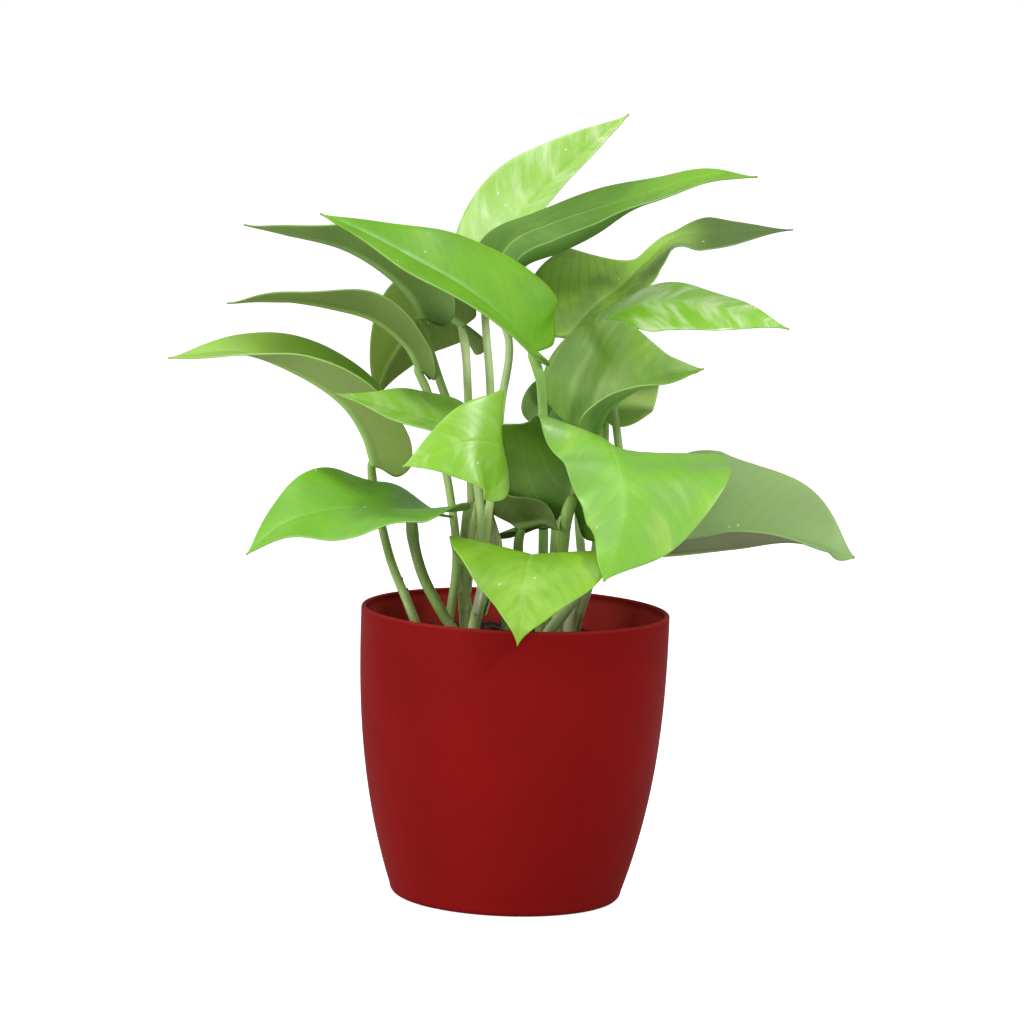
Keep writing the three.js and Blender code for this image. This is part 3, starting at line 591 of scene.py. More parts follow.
def blade_piece(name, leaf, keel):
    shares, places = sheet_grid()
    points, share, aside, edge, length = blade_sheet(leaf, shares, places)
    normals = sheet_normals(points)
    upper, under, turn = face_offsets(leaf, share, aside, edge, length, keel)
    both = np.concatenate([(points + normals * upper[..., None]).reshape(-1, 3),
                           (points - normals * under[..., None]).reshape(-1, 3)])
    values = {label: np.concatenate([part.ravel()] * 2) for label, part in
              (("share", share), ("aside", aside), ("edge", edge), ("turn", turn))}
    values["upper"] = np.concatenate([np.ones(share.size), np.zeros(share.size)])
    return mesh_piece(name, both, sewn_faces(len(shares), len(places)), values)


print("each blade has", 2 * ROW_COUNT * (2 * COLUMN_COUNT + 5), "points")

# %% [markdown]
# A stalk is a fleshy round rod with a shallow groove down one side. Just below its blade it swells to a
# knee, which lets the leaf turn to the light, and the vines have rings where old leaves sat. A curve
# object with a bevel gives a round rod quickly, but its width would only change at its few points. Here a
# ring of points is carried along the line without twisting, and a formula for its radius makes knee,
# groove and rings.

# %% rods with rings, a groove and a knee
ROD_SIDES = 20
ROD_STEP = 1.1
SEAT_AHEAD = 1.5
KNEE_SWELL = 0.16
KNEE_BELOW = 7
KNEE_SPREAD = 4
GROOVE_DEPTH = 0.12
GROOVE_ANGLE = 0.5
RING_SWELL = 0.16
RING_EVERY = 15
RING_SHIFT = 6
RING_PLACE = 9
RING_WIDTH = 0.9
END_ROUND = 0.9
END_LEAST = 0.3
POINT_SHARE = 0.35
POINT_LEAST = 0.04
POINT_ROUND = 0.6
FIRST_SIDE = (0, 1, 0.02)
NO_BLADE = 60


def carried_frames(directions):
    """Two directions square to a line at each of its points, carried along so that they don't twist."""
    first = np.cross(directions[0], FIRST_SIDE)
    sides = [unit(first)]
    for direction in directions[1:]:
        side = sides[-1] - direction * np.dot(direction, sides[-1])
        sides.append(unit(side))
    sides = np.array(sides)
    return sides, np.cross(directions, sides)


def seat(leaf, path, radius):
    """Where a stalk ends under its leaf: on its side if it comes in flat, on its end if square."""
    line = Line(leaf["rib"])
    joint, ahead = line.at(0.0), line.ahead(0.0)
    up = np.array(leaf["face"][0], float)
    up = unit(up - up.dot(ahead) * ahead)
    square = abs(unit(joint - np.array(path[-1], float)).dot(up))
    depth = radius * math.sqrt(1 - square**2) + (1 - square) * BLADE_THICKNESS / 2
    return list(joint - up * depth + ahead * SEAT_AHEAD)


def rod_radius(shoot, travelled, length):
    share = travelled / length
    radius = shoot["foot"] + (shoot["end"] - shoot["foot"]) * share
    left = length - travelled
    if shoot["leaf"]:
        radius = radius * (1 + KNEE_SWELL * np.exp(-(((left - KNEE_BELOW) / KNEE_SPREAD) ** 2)))
        radius = radius * np.sqrt(np.clip(left / (END_ROUND * shoot["end"]), END_LEAST, 1))
    else:
        rings = np.exp(-((((travelled + RING_SHIFT) % RING_EVERY) - RING_PLACE) / RING_WIDTH) ** 2)
        radius = radius * (1 + RING_SWELL * rings)
        radius = radius * np.clip(left / (POINT_SHARE * length), POINT_LEAST, 1) ** POINT_ROUND
    return radius


def rod(shoot):
    """Points, faces and values of one shoot: a closed rod from its foot to its end."""
    path = shoot["path"]
    if shoot["leaf"]:
        path = [*path, seat(LEAVES[shoot["leaf"]], path, shoot["end"])]
    line = Line(path)
    count = int(line.length / ROD_STEP) + 2
    share = np.linspace(0, 1, count)
    centres = line.at(share)
    sides, others = carried_frames(line.ahead(share))
    radius = rod_radius(shoot, share * line.length, line.length)
    angle = np.linspace(-np.pi, np.pi, ROD_SIDES, endpoint=False)
    groove = 1 - GROOVE_DEPTH * np.exp(-((angle / GROOVE_ANGLE) ** 2))
    ring = (sides[:, None] * np.cos(angle)[None, :, None] + others[:, None] * np.sin(angle)[None, :, None])
    points = centres[:, None] + ring * (radius[:, None] * groove)[..., None]
    index = np.arange(count * ROD_SIDES).reshape(count, ROD_SIDES)
    after = np.roll(index, -1, axis=1)
    faces = quads(index[:-1], after[:-1], after[1:], index[1:])
    faces += [index[0, ::-1].tolist(), index[-1].tolist()]
    from_foot = np.repeat(share * line.length, ROD_SIDES)
    to_blade = np.repeat((1 - share) * line.length if shoot["leaf"] else share * 0 + NO_BLADE, ROD_SIDES)
    return points.reshape(-1, 3), faces, {"from_foot": from_foot, "to_blade": to_blade}


def joined(parts):
    """One list of points, faces and values from several."""
    points, faces, values = [], [], {}
    for some_points, some_faces, some_values in parts:
        start = sum(map(len, points))
        points.append(some_points)
        faces += [[int(corner) + start for corner in face] for face in some_faces]
        for label, numbers in some_values.items():
            values.setdefault(label, []).append(numbers)
    return np.concatenate(points), faces, {label: np.concatenate(part) for label, part in values.items()}


print("sides of a rod:", ROD_SIDES)

# %% [markdown]
# Colours are easiest to think of as they look on a screen, from 0 to 255, but a shader works with amounts
# of light. One small helper turns the first into the second. The next helpers put shader nodes together in
# short lines: each adds one node, joins its inputs and gives its output back.

# %% helpers for colours and shader nodes
def paint(red, green, blue):
    """A screen colour as the amounts of light that a shader takes."""
    light = [(c / 255 + 0.055) / 1.055 for c in (red, green, blue)]
    return (*(c**2.4 if c > 0.09 else c / 12.92 for c in light), 1)


class Nodes:
    """Builds a node tree in short steps."""

    def __init__(self, tree):
        self.tree = tree

    def add(self, kind, **settings):
        node = self.tree.nodes.new(kind)
        for setting, value in settings.items():
            setattr(node, setting, value)
        return node

    def feed(self, socket, source):
        if isinstance(source, bpy.types.NodeSocket):
            self.tree.links.new(source, socket)
        else:
            socket.default_value = source

    def made(self, kind, sources, output=0, **settings):
        """Adds a node, feeds its inputs by name or number, and gives one of its outputs."""
        node = self.add(kind, **settings)
        for socket, source in sources.items():
            self.feed(node.inputs[socket], source)
        return node.outputs[output]

    def value(self, label):
        return self.made("ShaderNodeAttribute", {}, "Fac", attribute_name=label)

    def place(self):
        return self.made("ShaderNodeTexCoord", {}, "Object")

    def math(self, operation, *sources):
        return self.made("ShaderNodeMath", dict(enumerate(sources)), operation=operation)

    def times(self, first, second):
        return self.math("MULTIPLY", first, second)

    def plus(self, first, second):
        return self.math("ADD", first, second)

    def ramp(self, source, low, high, start=0.0, end=1.0):
        """A soft step: start below low, end above high. Low may be the greater of the two."""
        if low > high:
            low, high, start, end = high, low, end, start
        sources = {"Value": source, "From Min": low, "From Max": high, "To Min": start, "To Max": end}
        return self.made("ShaderNodeMapRange", sources, interpolation_type="SMOOTHSTEP")

    def mix(self, share, first, second):
        return self.made("ShaderNodeMix", {0: share, 6: first, 7: second}, 2, data_type="RGBA")

    def layered(self, colour, *coats):
        """A colour with coats laid on in turn, each a share and a colour."""
        for share, coat in coats:
            colour = self.mix(share, colour, coat)
        return colour

    def joined(self, *parts):
        return self.made("ShaderNodeCombineXYZ", dict(enumerate(parts)))

    def noise(self, vector, scale, detail=2.0, roughness=0.5):
        sources = {"Vector": vector, "Scale": scale, "Detail": detail, "Roughness": roughness}
        return self.made("ShaderNodeTexNoise", sources)

    def group(self, name, **amounts):
        node = self.add("ShaderNodeGroup", node_tree=bpy.data.node_groups[name])
        for label, amount in amounts.items():
            self.feed(node.inputs[label], amount)
        return node.outputs


def new_group(name, inputs, outputs):
    """An empty shader node group. Inputs are names with a starting value, a number or a colour."""
    tree = bpy.data.node_groups.new(name, "ShaderNodeTree")
    for label, start in inputs.items():
        kind = "NodeSocketColor" if isinstance(start, tuple) else "NodeSocketFloat"
        tree.interface.new_socket(label, in_out="INPUT", socket_type=kind).default_value = start
    for label in outputs:
        kind = "NodeSocketColor" if label == "Colour" else "NodeSocketFloat"
        tree.interface.new_socket(label, in_out="OUTPUT", socket_type=kind)
    nodes = Nodes(tree)
    return nodes, nodes.add("NodeGroupInput").outputs, nodes.add("NodeGroupOutput").inputs


print("a mid leaf green is", [round(c, 3) for c in paint(110, 190, 50)[:3]], "in light")

# %% [markdown]
# Dust and grains of soil settle on leaves, on stalks and on the pot: a few pale specks, not a haze. A
# particle system would make thousands of objects for them. A cell texture gives each small cell a random
# value and a round spot at its middle, and only the cells with the highest values keep their speck. It is
# one group, because the leaves, the stalks and the pot all use it, each with its own size and number.

# %% group: specks of dust
nodes, given, out = new_group("dust_specks", {"Per metre": 400.0, "Kept": 0.06, "Spot": 0.2}, ["Mask"])
cells = nodes.add("ShaderNodeTexVoronoi")
nodes.feed(cells.inputs["Vector"], nodes.place())
nodes.feed(cells.inputs["Scale"], given["Per metre"])
spot = nodes.math("LESS_THAN", cells.outputs["Distance"], given["Spot"])
chosen = nodes.made("ShaderNodeSeparateColor", {0: cells.outputs["Color"]})
kept = nodes.math("LESS_THAN", chosen, given["Kept"])
nodes.feed(out["Mask"], nodes.times(spot, kept))


def dust_specks(nodes, per_metre, kept, spot):
    return nodes.group("dust_specks", **{"Per metre": per_metre, "Kept": kept, "Spot": spot})["Mask"]


print("dust_specks:", len(nodes.tree.nodes), "nodes")

# %% [markdown]
# Grown and moulded skins are never one even colour. This group gives two slow or fast changing values: a
# mottle some millimetres across, which shifts the colour, and a fine grain, which makes tiny bumps. A
# stretch along the height turns the grain into the long fibres of a stalk.

# %% group: mottle and grain
nodes, given, out = new_group(
    "skin_grain", {"Mottle per metre": 60.0, "Grain per metre": 1500.0, "Stretch": 1.0},
    ["Mottle", "Grain"])
squeeze = nodes.math("DIVIDE", 1.0, given["Stretch"])
stretched = {0: nodes.place(), 1: nodes.joined(1.0, 1.0, squeeze)}
longer = nodes.made("ShaderNodeVectorMath", stretched, operation="MULTIPLY")
nodes.feed(out["Mottle"], nodes.noise(longer, given["Mottle per metre"], 3.0, 0.55))
nodes.feed(out["Grain"], nodes.noise(longer, given["Grain per metre"], 2.0, 0.5))


def skin_grain(nodes, mottle, grain, stretch=1.0):
    amounts = {"Mottle per metre": mottle, "Grain per metre": grain, "Stretch": stretch}
    return nodes.group("skin_grain", **amounts)


print("skin_grain:", len(nodes.tree.nodes), "nodes")

# %% [markdown]
# A golden pothos leaf is green with paler streaks that run out from the midrib between the side veins, as
# if brushed on. Its midrib and its margin are thin pale lines, and the underside is duller, with raised
# pale veins. The mesh carries the count of the side veins, so stretching a noise along that count gives
# streaks that truly follow them. The group also paints light and shade: painted shade over the base, at
# the tip and beside the midrib, and a pale haze that is partly dust and partly painted sheen. All
# nineteen blades use this one group and differ only in what they feed it.

# %% group: markings of a leaf
LEAF_INPUTS = {
    "upper_green": paint(110, 190, 50), "deeper_and_shade_green": paint(70, 140, 30),
    "under_green": paint(95, 125, 60), "lime": paint(185, 225, 95), "rib": paint(175, 215, 120),
    "streaks": 0.5, "deep": 0.0, "tip": 0.0, "beside_rib": 0.0, "dust_and_sheen": 0.1, "gloss": 0.3, "seed": 0.0,
}
nodes, given, out = new_group("leaf_markings", LEAF_INPUTS, ["Colour", "Roughness", "Height"])
share, aside, edge = nodes.value("share"), nodes.value("aside"), nodes.value("edge")
turn, upper = nodes.value("turn"), nodes.value("upper")
grain = skin_grain(nodes, 55.0, 1400.0)
across_vein = nodes.math("ABSOLUTE", nodes.math("SUBTRACT", nodes.math("FRACT", turn), 0.5))
vein_reach = nodes.times(nodes.ramp(aside, 0.5, 3.0), nodes.ramp(edge, 0.8, 5.0))
vein = nodes.times(nodes.ramp(across_vein, 0.2, 0.0), vein_reach)
fine_vein = nodes.times(nodes.ramp(across_vein, 0.06, 0.0), vein_reach)
streak_place = nodes.joined(nodes.plus(nodes.times(turn, 0.5), given["seed"]),
                            nodes.times(aside, 0.06), given["seed"])
streak_noise = nodes.noise(streak_place, 1.0, 3.0, 0.6)
streak = nodes.times(nodes.ramp(streak_noise, 0.43, 0.74), given["streaks"])
tone = nodes.times(nodes.ramp(grain["Mottle"], 0.38, 0.66), 0.45)
# the shade green is a deeper tone of the leaf and also the colour of the painted shade below
deeper_and_shade = given["deeper_and_shade_green"]
top = nodes.layered(
    given["upper_green"], (tone, deeper_and_shade),
    # painted shade: the base half of the blade darkened towards the shade green
    (nodes.times(nodes.ramp(share, 0.75, 0.4), given["deep"]), deeper_and_shade),
    # painted shade: the tip of the blade darkened towards the shade green
    (nodes.times(nodes.ramp(share, 0.5, 0.72), given["tip"]), deeper_and_shade),
    # painted shade: a darker band beside the midrib
    (nodes.times(nodes.ramp(aside, 0.45, -1.5), given["beside_rib"]), deeper_and_shade),
    (nodes.times(vein, 0.14), deeper_and_shade),
    (streak, given["lime"]),
    (nodes.times(nodes.ramp(aside, 0.6, 0.15), nodes.ramp(share, 0.9, 0.1, 0.0, 0.3)), given["rib"]))
keel = nodes.times(nodes.ramp(aside, 2.0, 0.5), nodes.ramp(share, 0.8, 0.0, 0.05, 0.7))
under = nodes.layered(
    given["under_green"], (nodes.ramp(grain["Mottle"], 0.35, 0.7, 0.0, 0.35), deeper_and_shade),
    (nodes.times(fine_vein, 0.12), given["rib"]), (keel, given["rib"]))
margin = nodes.times(nodes.ramp(edge, 0.5, 0.1, 0.0, 0.35), nodes.ramp(share, 0.93, 0.75))
specks = nodes.times(dust_specks(nodes, 330.0, 0.03, 0.16), nodes.ramp(upper, 0.6, 0.9))
# a pale haze over the upper face, partly dust and partly painted sheen
dust_and_sheen_haze = nodes.times(nodes.ramp(grain["Mottle"], 0.4, 0.7, 0.2, 1.0), given["dust_and_sheen"])
dust_and_sheen_haze = nodes.times(dust_and_sheen_haze, nodes.ramp(upper, 0.3, 0.7, 0.3, 1.0))
nodes.feed(out["Colour"], nodes.layered(
    under, (nodes.ramp(upper, 0.3, 0.7), top), (margin, given["rib"]),
    (nodes.ramp(share, 0.985, 1.0, 0.0, 0.6), paint(150, 130, 70)),
    (nodes.times(specks, 0.65), paint(225, 232, 215)), (dust_and_sheen_haze, paint(200, 215, 185))))
rough_top = nodes.plus(nodes.math("SUBTRACT", 0.62, given["gloss"]),
                       nodes.times(nodes.ramp(grain["Mottle"], 0.4, 0.7), 0.12))
rough = nodes.plus(rough_top, nodes.ramp(upper, 0.7, 0.3, 0.0, 0.2))
nodes.feed(out["Roughness"], nodes.plus(rough, nodes.times(specks, 0.3)))
height = nodes.plus(nodes.times(grain["Grain"], 0.12),
                    nodes.times(fine_vein, nodes.ramp(upper, 0.3, 0.7, 0.3, -0.15)))
nodes.feed(out["Height"], nodes.plus(height, nodes.times(specks, 0.6)))
print("leaf_markings:", len(nodes.tree.nodes), "nodes")

# %% [markdown]
# The leaf material itself holds the shader. Its base colour, roughness and bump come from the group, and
# the waxy skin is a thin clear coat. The colours were judged against each leaf: the youngest blades
# are lime, the older ones are a deeper green, and one or two look grey from the light that they throw
# back.

# %% leaf materials
COAT_ROUGHNESS = 0.3


def new_material(name):
    """A material with its node builder and its shader."""
    material = bpy.data.materials.new(name)
    material.use_nodes = True
    return material, Nodes(material.node_tree), material.node_tree.nodes["Principled BSDF"]


def finished(nodes, shader, colour, roughness, height, depth):
    """Feeds the shader a colour, a roughness, and a height as bumps depth metres from lowest to highest."""
    bump = nodes.add("ShaderNodeBump")
    bump.inputs["Distance"].default_value = depth
    nodes.feed(bump.inputs["Height"], height)
    looks = {"Normal": bump.outputs["Normal"], "Base Color": colour, "Roughness": roughness}
    for label, source in looks.items():
        nodes.feed(shader.inputs[label], source)


def look(upper, deeper_green_and_shade, under, streaks, dust_and_sheen, gloss, **special):
    """What one leaf feeds to the group, and the weight of its clear coat."""
    usual = dict(lime=(172, 212, 74), rib=(178, 218, 125), deep=0.0, tip=0.0, beside_rib=0.0, coat=0.05)
    return {"upper_green": upper, "deeper_and_shade_green": deeper_green_and_shade, "under_green": under, "streaks": streaks,
            "dust_and_sheen": dust_and_sheen, "gloss": gloss, **usual, **special}


LOOKS = {
    # the whitish lime streaks of this blade are partly its variegation and partly a painted sheen
    "leaf_01_top": look((158, 206, 78), (128, 184, 52), (125, 165, 72), 0.75, 0.0, 0.42,
        lime=(212, 236, 178), coat=1.0),
    # painted shade over the base half of this blade
    "leaf_02_upper_right": look((122, 184, 32), (72, 118, 14), (92, 135, 48), 0.1, 0.0, 0.2, deep=0.85),
    # painted light and shade: the upper green is painted bright for the light on its lower half, with
    # painted shade at the tip and beside the midrib
    "leaf_03_right_twisted": look((172, 222, 84), (64, 94, 32), (95, 125, 60), 0.0, 0.06, 0.15,
        beside_rib=0.95, tip=0.85),
    "leaf_04_upper_left": look((118, 184, 28), (92, 154, 18), (108, 150, 60), 0.15, 0.0, 0.25),
    "leaf_05_left_high": look((100, 150, 45), (92, 130, 50), (118, 150, 72), 0.0, 0.05, 0.2),
    "leaf_06_left_mid": look((110, 155, 48), (100, 130, 52), (132, 156, 78), 0.0, 0.05, 0.2),
    "leaf_07_back_left": look((110, 165, 50), (92, 128, 36), (120, 148, 50), 0.1, 0.0, 0.2),
    "leaf_08_left_folded": look((150, 196, 70), (128, 176, 58), (136, 158, 78), 0.1, 0.05, 0.2),
    "leaf_09_left_small": look((136, 192, 62), (112, 166, 46), (100, 140, 50), 0.4, 0.0, 0.25,
        lime=(190, 218, 140)),
    "leaf_10_centre_lime": look((138, 196, 50), (114, 178, 34), (165, 205, 80), 0.4, 0.0, 0.3,
        lime=(206, 232, 150), coat=0.1),
    "leaf_11_front_arching": look((124, 188, 48), (94, 154, 36), (96, 138, 30), 0.6, 0.12, 0.3, coat=0.15),
    "leaf_12_far_right": look((144, 182, 100), (120, 156, 76), (112, 122, 68), 0.0, 0.2, 0.12),
    # the whitish lime streaks of this blade are partly its variegation and partly a painted sheen
    "leaf_13_right_bright": look((140, 202, 50), (116, 182, 40), (80, 105, 45), 0.75, 0.0, 0.4,
        lime=(212, 236, 176), coat=0.8),
    "leaf_14_centre_grey": look((118, 166, 40), (74, 118, 22), (144, 196, 80), 0.45, 0.07, 0.18,
        lime=(178, 206, 122)),
    # painted light: this blade is painted paler than its green to lift the shade cast on it
    "leaf_15_behind_right": look((205, 238, 134), (176, 220, 106), (172, 214, 92), 0.2, 0.1, 0.2),
    "leaf_16_left_low": look((116, 182, 40), (96, 160, 32), (108, 148, 50), 0.15, 0.05, 0.25),
    # painted shade beside the midrib of this blade
    "leaf_17_over_the_lip": look((134, 188, 42), (98, 150, 26), (125, 165, 60), 0.4, 0.0, 0.22,
        lime=(184, 222, 104), beside_rib=0.35),
    "leaf_18_small_dark": look((100, 150, 50), (80, 104, 40), (96, 118, 48), 0.0, 0.0, 0.2),
    "leaf_19_back_small": look((105, 145, 60), (84, 115, 46), (95, 120, 52), 0.0, 0.05, 0.2),
}


def leaf_material(name, look, seed):
    material, nodes, shader = new_material(name + "_skin")
    amounts = {label: paint(*amount) if isinstance(amount, tuple) else amount
               for label, amount in look.items() if label != "coat"}
    marks = nodes.group("leaf_markings", **amounts, seed=seed)
    finished(nodes, shader, marks["Colour"], marks["Roughness"], marks["Height"], 0.00012)
    shader.inputs["Coat Weight"].default_value = look["coat"]
    shader.inputs["Coat Roughness"].default_value = COAT_ROUGHNESS
    return material


print("finishes for", len(LOOKS), "blades")

# %% [markdown]
# The nineteen blades are made in one loop, each from its own row of values. The keel under each blade
# starts as thick as the stalk that carries it, so that the stalk seems to run on under the leaf, as it
# does on the plant. Each finer blade replaces the plain solid of the same name, which stays in the model
# for collisions, hidden.

# %% the blades
LEAF_SEED_STEP = 3.7
carrier_end = {each["leaf"]: each["end"] for each in SHOOTS if each["leaf"]}


def dressed(piece, node, material):
    """Gives a piece its material, hangs it under the root body and hides the frame's part that it stands
    for.
    """
    piece.data.materials.append(material)
    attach(piece, "root")
    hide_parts(node)


for number, (name, leaf) in enumerate(LEAVES.items()):
    blade = blade_piece(name + "_blade", leaf, carrier_end[name])
    dressed(blade, name, leaf_material(name, LOOKS[name], LEAF_SEED_STEP * number))
print("blades:", len(LEAVES))

# %% [markdown]
# The stalks are paler than the blades, whitish green where young and olive where old, with fine fibres
# along them. Near the soil they are painted paler, in part as painted light that lifts the shade falling
# there, and at the knee under the blade they turn a clear yellow green. The mesh carries the distance from
# the foot and from the blade, so the paint can change along each rod.

# %% stalk materials
def stalk_material(name, young, old, seed):
    material, nodes, shader = new_material(name)
    grain = skin_grain(nodes, 90.0, 1300.0, 9.0)
    from_foot, to_blade = nodes.value("from_foot"), nodes.value("to_blade")
    patch = nodes.noise(nodes.joined(nodes.times(from_foot, 0.05), seed, 0.0), 1.0, 2.0)
    flecks = dust_specks(nodes, 420.0, 0.035, 0.22)
    colour = nodes.layered(
        paint(*young), (nodes.ramp(patch, 0.35, 0.65), paint(*old)),
        (nodes.ramp(grain["Mottle"], 0.4, 0.65, 0.0, 0.4), paint(*old)),
        (nodes.ramp(grain["Grain"], 0.5, 0.7, 0.0, 0.25), paint(205, 220, 170)),
        (nodes.ramp(to_blade, 9.0, 1.0, 0.0, 0.4), paint(165, 205, 95)),
        # painted paler near the soil, in part a painted light against the shade there
        (nodes.ramp(from_foot, 24.0, 8.0, 0.0, 0.6), paint(222, 236, 172)),
        (nodes.times(flecks, nodes.ramp(from_foot, 50.0, 15.0, 0.1, 0.5)), paint(110, 85, 50)))
    rough = nodes.ramp(grain["Mottle"], 0.3, 0.7, 0.38, 0.5)
    finished(nodes, shader, colour, rough, grain["Grain"], 0.00015)
    return material


STEM_LOOKS = {
    "vine_left": ((220, 239, 173), (195, 220, 144)), "vine_middle": ((207, 231, 155), (181, 208, 126)),
    "vine_right": ((214, 235, 169), (185, 212, 138)), "stalk_04": ((193, 231, 138), (163, 208, 109)),
    "stalk_05": ((159, 191, 105), (131, 164, 78)), "stalk_06": ((207, 234, 155), (177, 210, 122)),
    "stalk_08": ((173, 202, 114), (145, 177, 87)), "stalk_11": ((183, 214, 114), (149, 189, 81)),
    "stalk_12": ((214, 231, 171), (179, 206, 130)), "stalk_16": ((133, 164, 81), (109, 139, 62)),
    "stalk_17": ((177, 204, 118), (147, 179, 89)), "stalk_18": ((151, 183, 93), (127, 158, 70)),
    "stalk_19": ((171, 208, 113), (143, 179, 85)),
}

# %% the vines and stalks
STEM_SEED_STEP = 2.3

for number, (name, shoots) in enumerate(STEMS.items()):
    points, faces, values = joined([rod(each) for each in shoots])
    piece = mesh_piece(name + "_rod", points, faces, values)
    dressed(piece, name, stalk_material(name + "_skin", *STEM_LOOKS[name], STEM_SEED_STEP * number))
print("stems made:", len(STEMS))

# %% [markdown]
# Where a leaf was born on a vine, its papery sheath stays behind: a loose, pale collar round the young
# stalks that ends in a free point. It is a thin strip bent round a line, nearly closed at its foot and
# open towards the point. It is two faces a fraction of a millimetre apart, sewn together in the same way
# as the blades.

# %% papery sheaths
SHEATH_THICKNESS = 0.3
SHEATH_ROWS = 34
SHEATH_COLUMNS = 21
SHEATH_WRAP = ((0, 0.35, 0.8, 1), (155, 125, 75, 6))
SHEATH_LOOSE = 0.15
SHEATH_RIPPLE = 0.12
RIPPLES_ROUND = 9
RIPPLES_ALONG = 14
SHEATHS = {
    "left_sheath": dict(stem="vine_left", facing=-1.2, reach=(2.9, 3.3, 3.6),
                        path=[[-19, 2, 109], [-18.6, 2.6, 120], [-17.5, 4, 130], [-16, 4, 143]]),
    "middle_sheath": dict(stem="vine_middle", facing=-1.0, reach=(2.8, 3.0, 3.4),
                          path=[[-13, -13, 104], [-11, -13.5, 114], [-9, -14, 124], [-7.5, -15, 137]]),
    "right_sheath": dict(stem="vine_right", facing=-0.6, reach=(3.2, 3.5, 3.9),
                         path=[[20, 8, 90], [21, 8, 100], [24.5, 8, 109], [29, 6, 120]]),
}


def sheath_piece(name, path, reach, facing):
    line = Line(path)
    share = np.linspace(0, 1, SHEATH_ROWS)
    sides, others = carried_frames(line.ahead(share))
    across = np.linspace(-1, 1, SHEATH_COLUMNS)
    angle = facing + np.radians(np.interp(share, *SHEATH_WRAP))[:, None] * across
    ring = sides[:, None] * np.cos(angle)[..., None] + others[:, None] * np.sin(angle)[..., None]
    loose = np.interp(share, (0, 0.5, 1), reach)[:, None] * (1 + SHEATH_LOOSE * share[:, None] * across**2)
    ripple = np.sin(RIPPLES_ROUND * angle + RIPPLES_ALONG * share[:, None])
    loose = loose + SHEATH_RIPPLE * ripple * share[:, None]
    middle = line.at(share)[:, None]
    faces = [(middle + ring * (loose - inward)[..., None]).reshape(-1, 3)
             for inward in (0, SHEATH_THICKNESS)]
    values = {"share": np.tile(np.repeat(share, SHEATH_COLUMNS), 2)}
    return mesh_piece(name, np.concatenate(faces), sewn_faces(SHEATH_ROWS, SHEATH_COLUMNS), values)


material, nodes, shader = new_material("papery_sheath")
grain = skin_grain(nodes, 160.0, 2200.0, 12.0)
colour = nodes.layered(
    paint(240, 244, 212), (nodes.ramp(grain["Mottle"], 0.35, 0.65), paint(214, 228, 170)),
    (nodes.ramp(grain["Grain"], 0.5, 0.7, 0.0, 0.35), paint(172, 168, 118)),
    (nodes.ramp(nodes.value("share"), 0.85, 1.0, 0.0, 0.45), paint(186, 168, 118)))
finished(nodes, shader, colour, nodes.ramp(grain["Mottle"], 0.3, 0.7, 0.6, 0.75), grain["Grain"], 0.0002)
for name, sheath in SHEATHS.items():
    piece = sheath_piece(name, sheath["path"], sheath["reach"], sheath["facing"])
    dressed(piece, sheath["stem"], material)
print("sheaths:", len(SHEATHS))

# %% [markdown]
# The pot is thin moulded plastic with a rounded lip, a soft round at the foot and a flat underside. A
# profile turned round its axis gives it exactly. The profile is written as points close enough together
# that no facet shows, and the lip and the foot have an arc of their own.

# %% the pot
TURN_STEPS = 192
ARC_STEPS = 10
WALL_STEPS = 40


def pot_radius(z):
    return POT_TOP_RADIUS - (POT_TOP_RADIUS - POT_BASE_RADIUS) * (1 - z / POT_HEIGHT) ** POT_BELLY


def arc(centre, radius, start, end):
    angles = np.radians(np.linspace(start, end, ARC_STEPS))
    return [(centre[0] + radius * math.cos(a), centre[1] + radius * math.sin(a)) for a in angles]


def turned(name, profile, inner_from=0):
    """A mesh turned round the upright axis from (radius, height) points, the first and last on the axis.

    Its value inside is 1 from the point numbered inner_from on."""
    inner = np.array(profile[1:-1])
    angle = np.linspace(0, 2 * np.pi, TURN_STEPS, endpoint=False)
    ring = np.stack([np.outer(inner[:, 0], np.cos(angle)), np.outer(inner[:, 0], np.sin(angle)),
                     np.repeat(inner[:, 1:], TURN_STEPS, 1)], -1)
    index = np.arange(ring.shape[0] * TURN_STEPS).reshape(ring.shape[0], TURN_STEPS)
    after = np.roll(index, -1, axis=1)
    faces = quads(index[:-1], after[:-1], after[1:], index[1:])
    low, high = index.size, index.size + 1
    faces += [[low, int(b), int(a)] for a, b in zip(index[0], after[0])]
    faces += [[high, int(a), int(b)] for a, b in zip(index[-1], after[-1])]
    ends = [(0, 0, profile[0][1]), (0, 0, profile[-1][1])]
    inside = np.repeat(np.arange(len(inner)) >= inner_from, TURN_STEPS).astype(float)
    values = {"inside": np.append(inside, (0, 1))}
    return mesh_piece(name, np.concatenate([ring.reshape(-1, 3), ends]), faces, values)


lip = POT_WALL / 2
foot_centre = pot_radius(POT_CORNER) - POT_CORNER
wall = np.linspace(POT_CORNER, POT_HEIGHT - lip, WALL_STEPS)
profile = [(0, 0), *arc((foot_centre, POT_CORNER), POT_CORNER, -90, 0),
           *((pot_radius(z), z) for z in wall[1:-1]),
           *arc((POT_TOP_RADIUS - lip, POT_HEIGHT - lip), lip, 0, 180),
           *((pot_radius(z) - POT_WALL, z) for z in wall[-2::-1]), (0, POT_FLOOR)]
pot_shell = turned("pot_shell", profile, ARC_STEPS + WALL_STEPS - 2 + ARC_STEPS)
print("the pot's profile has", len(profile), "points")

# %% [markdown]
# Dull red plastic looks deep and a little uneven: the colour drifts slowly, the skin has a fine
# orange-peel grain that spreads the light, and a few pale specks of dust cling to it. The lip is rubbed
# slightly paler. A high roughness with a low specular level gives the broad, faint sheen without a
# mirror-like spot.

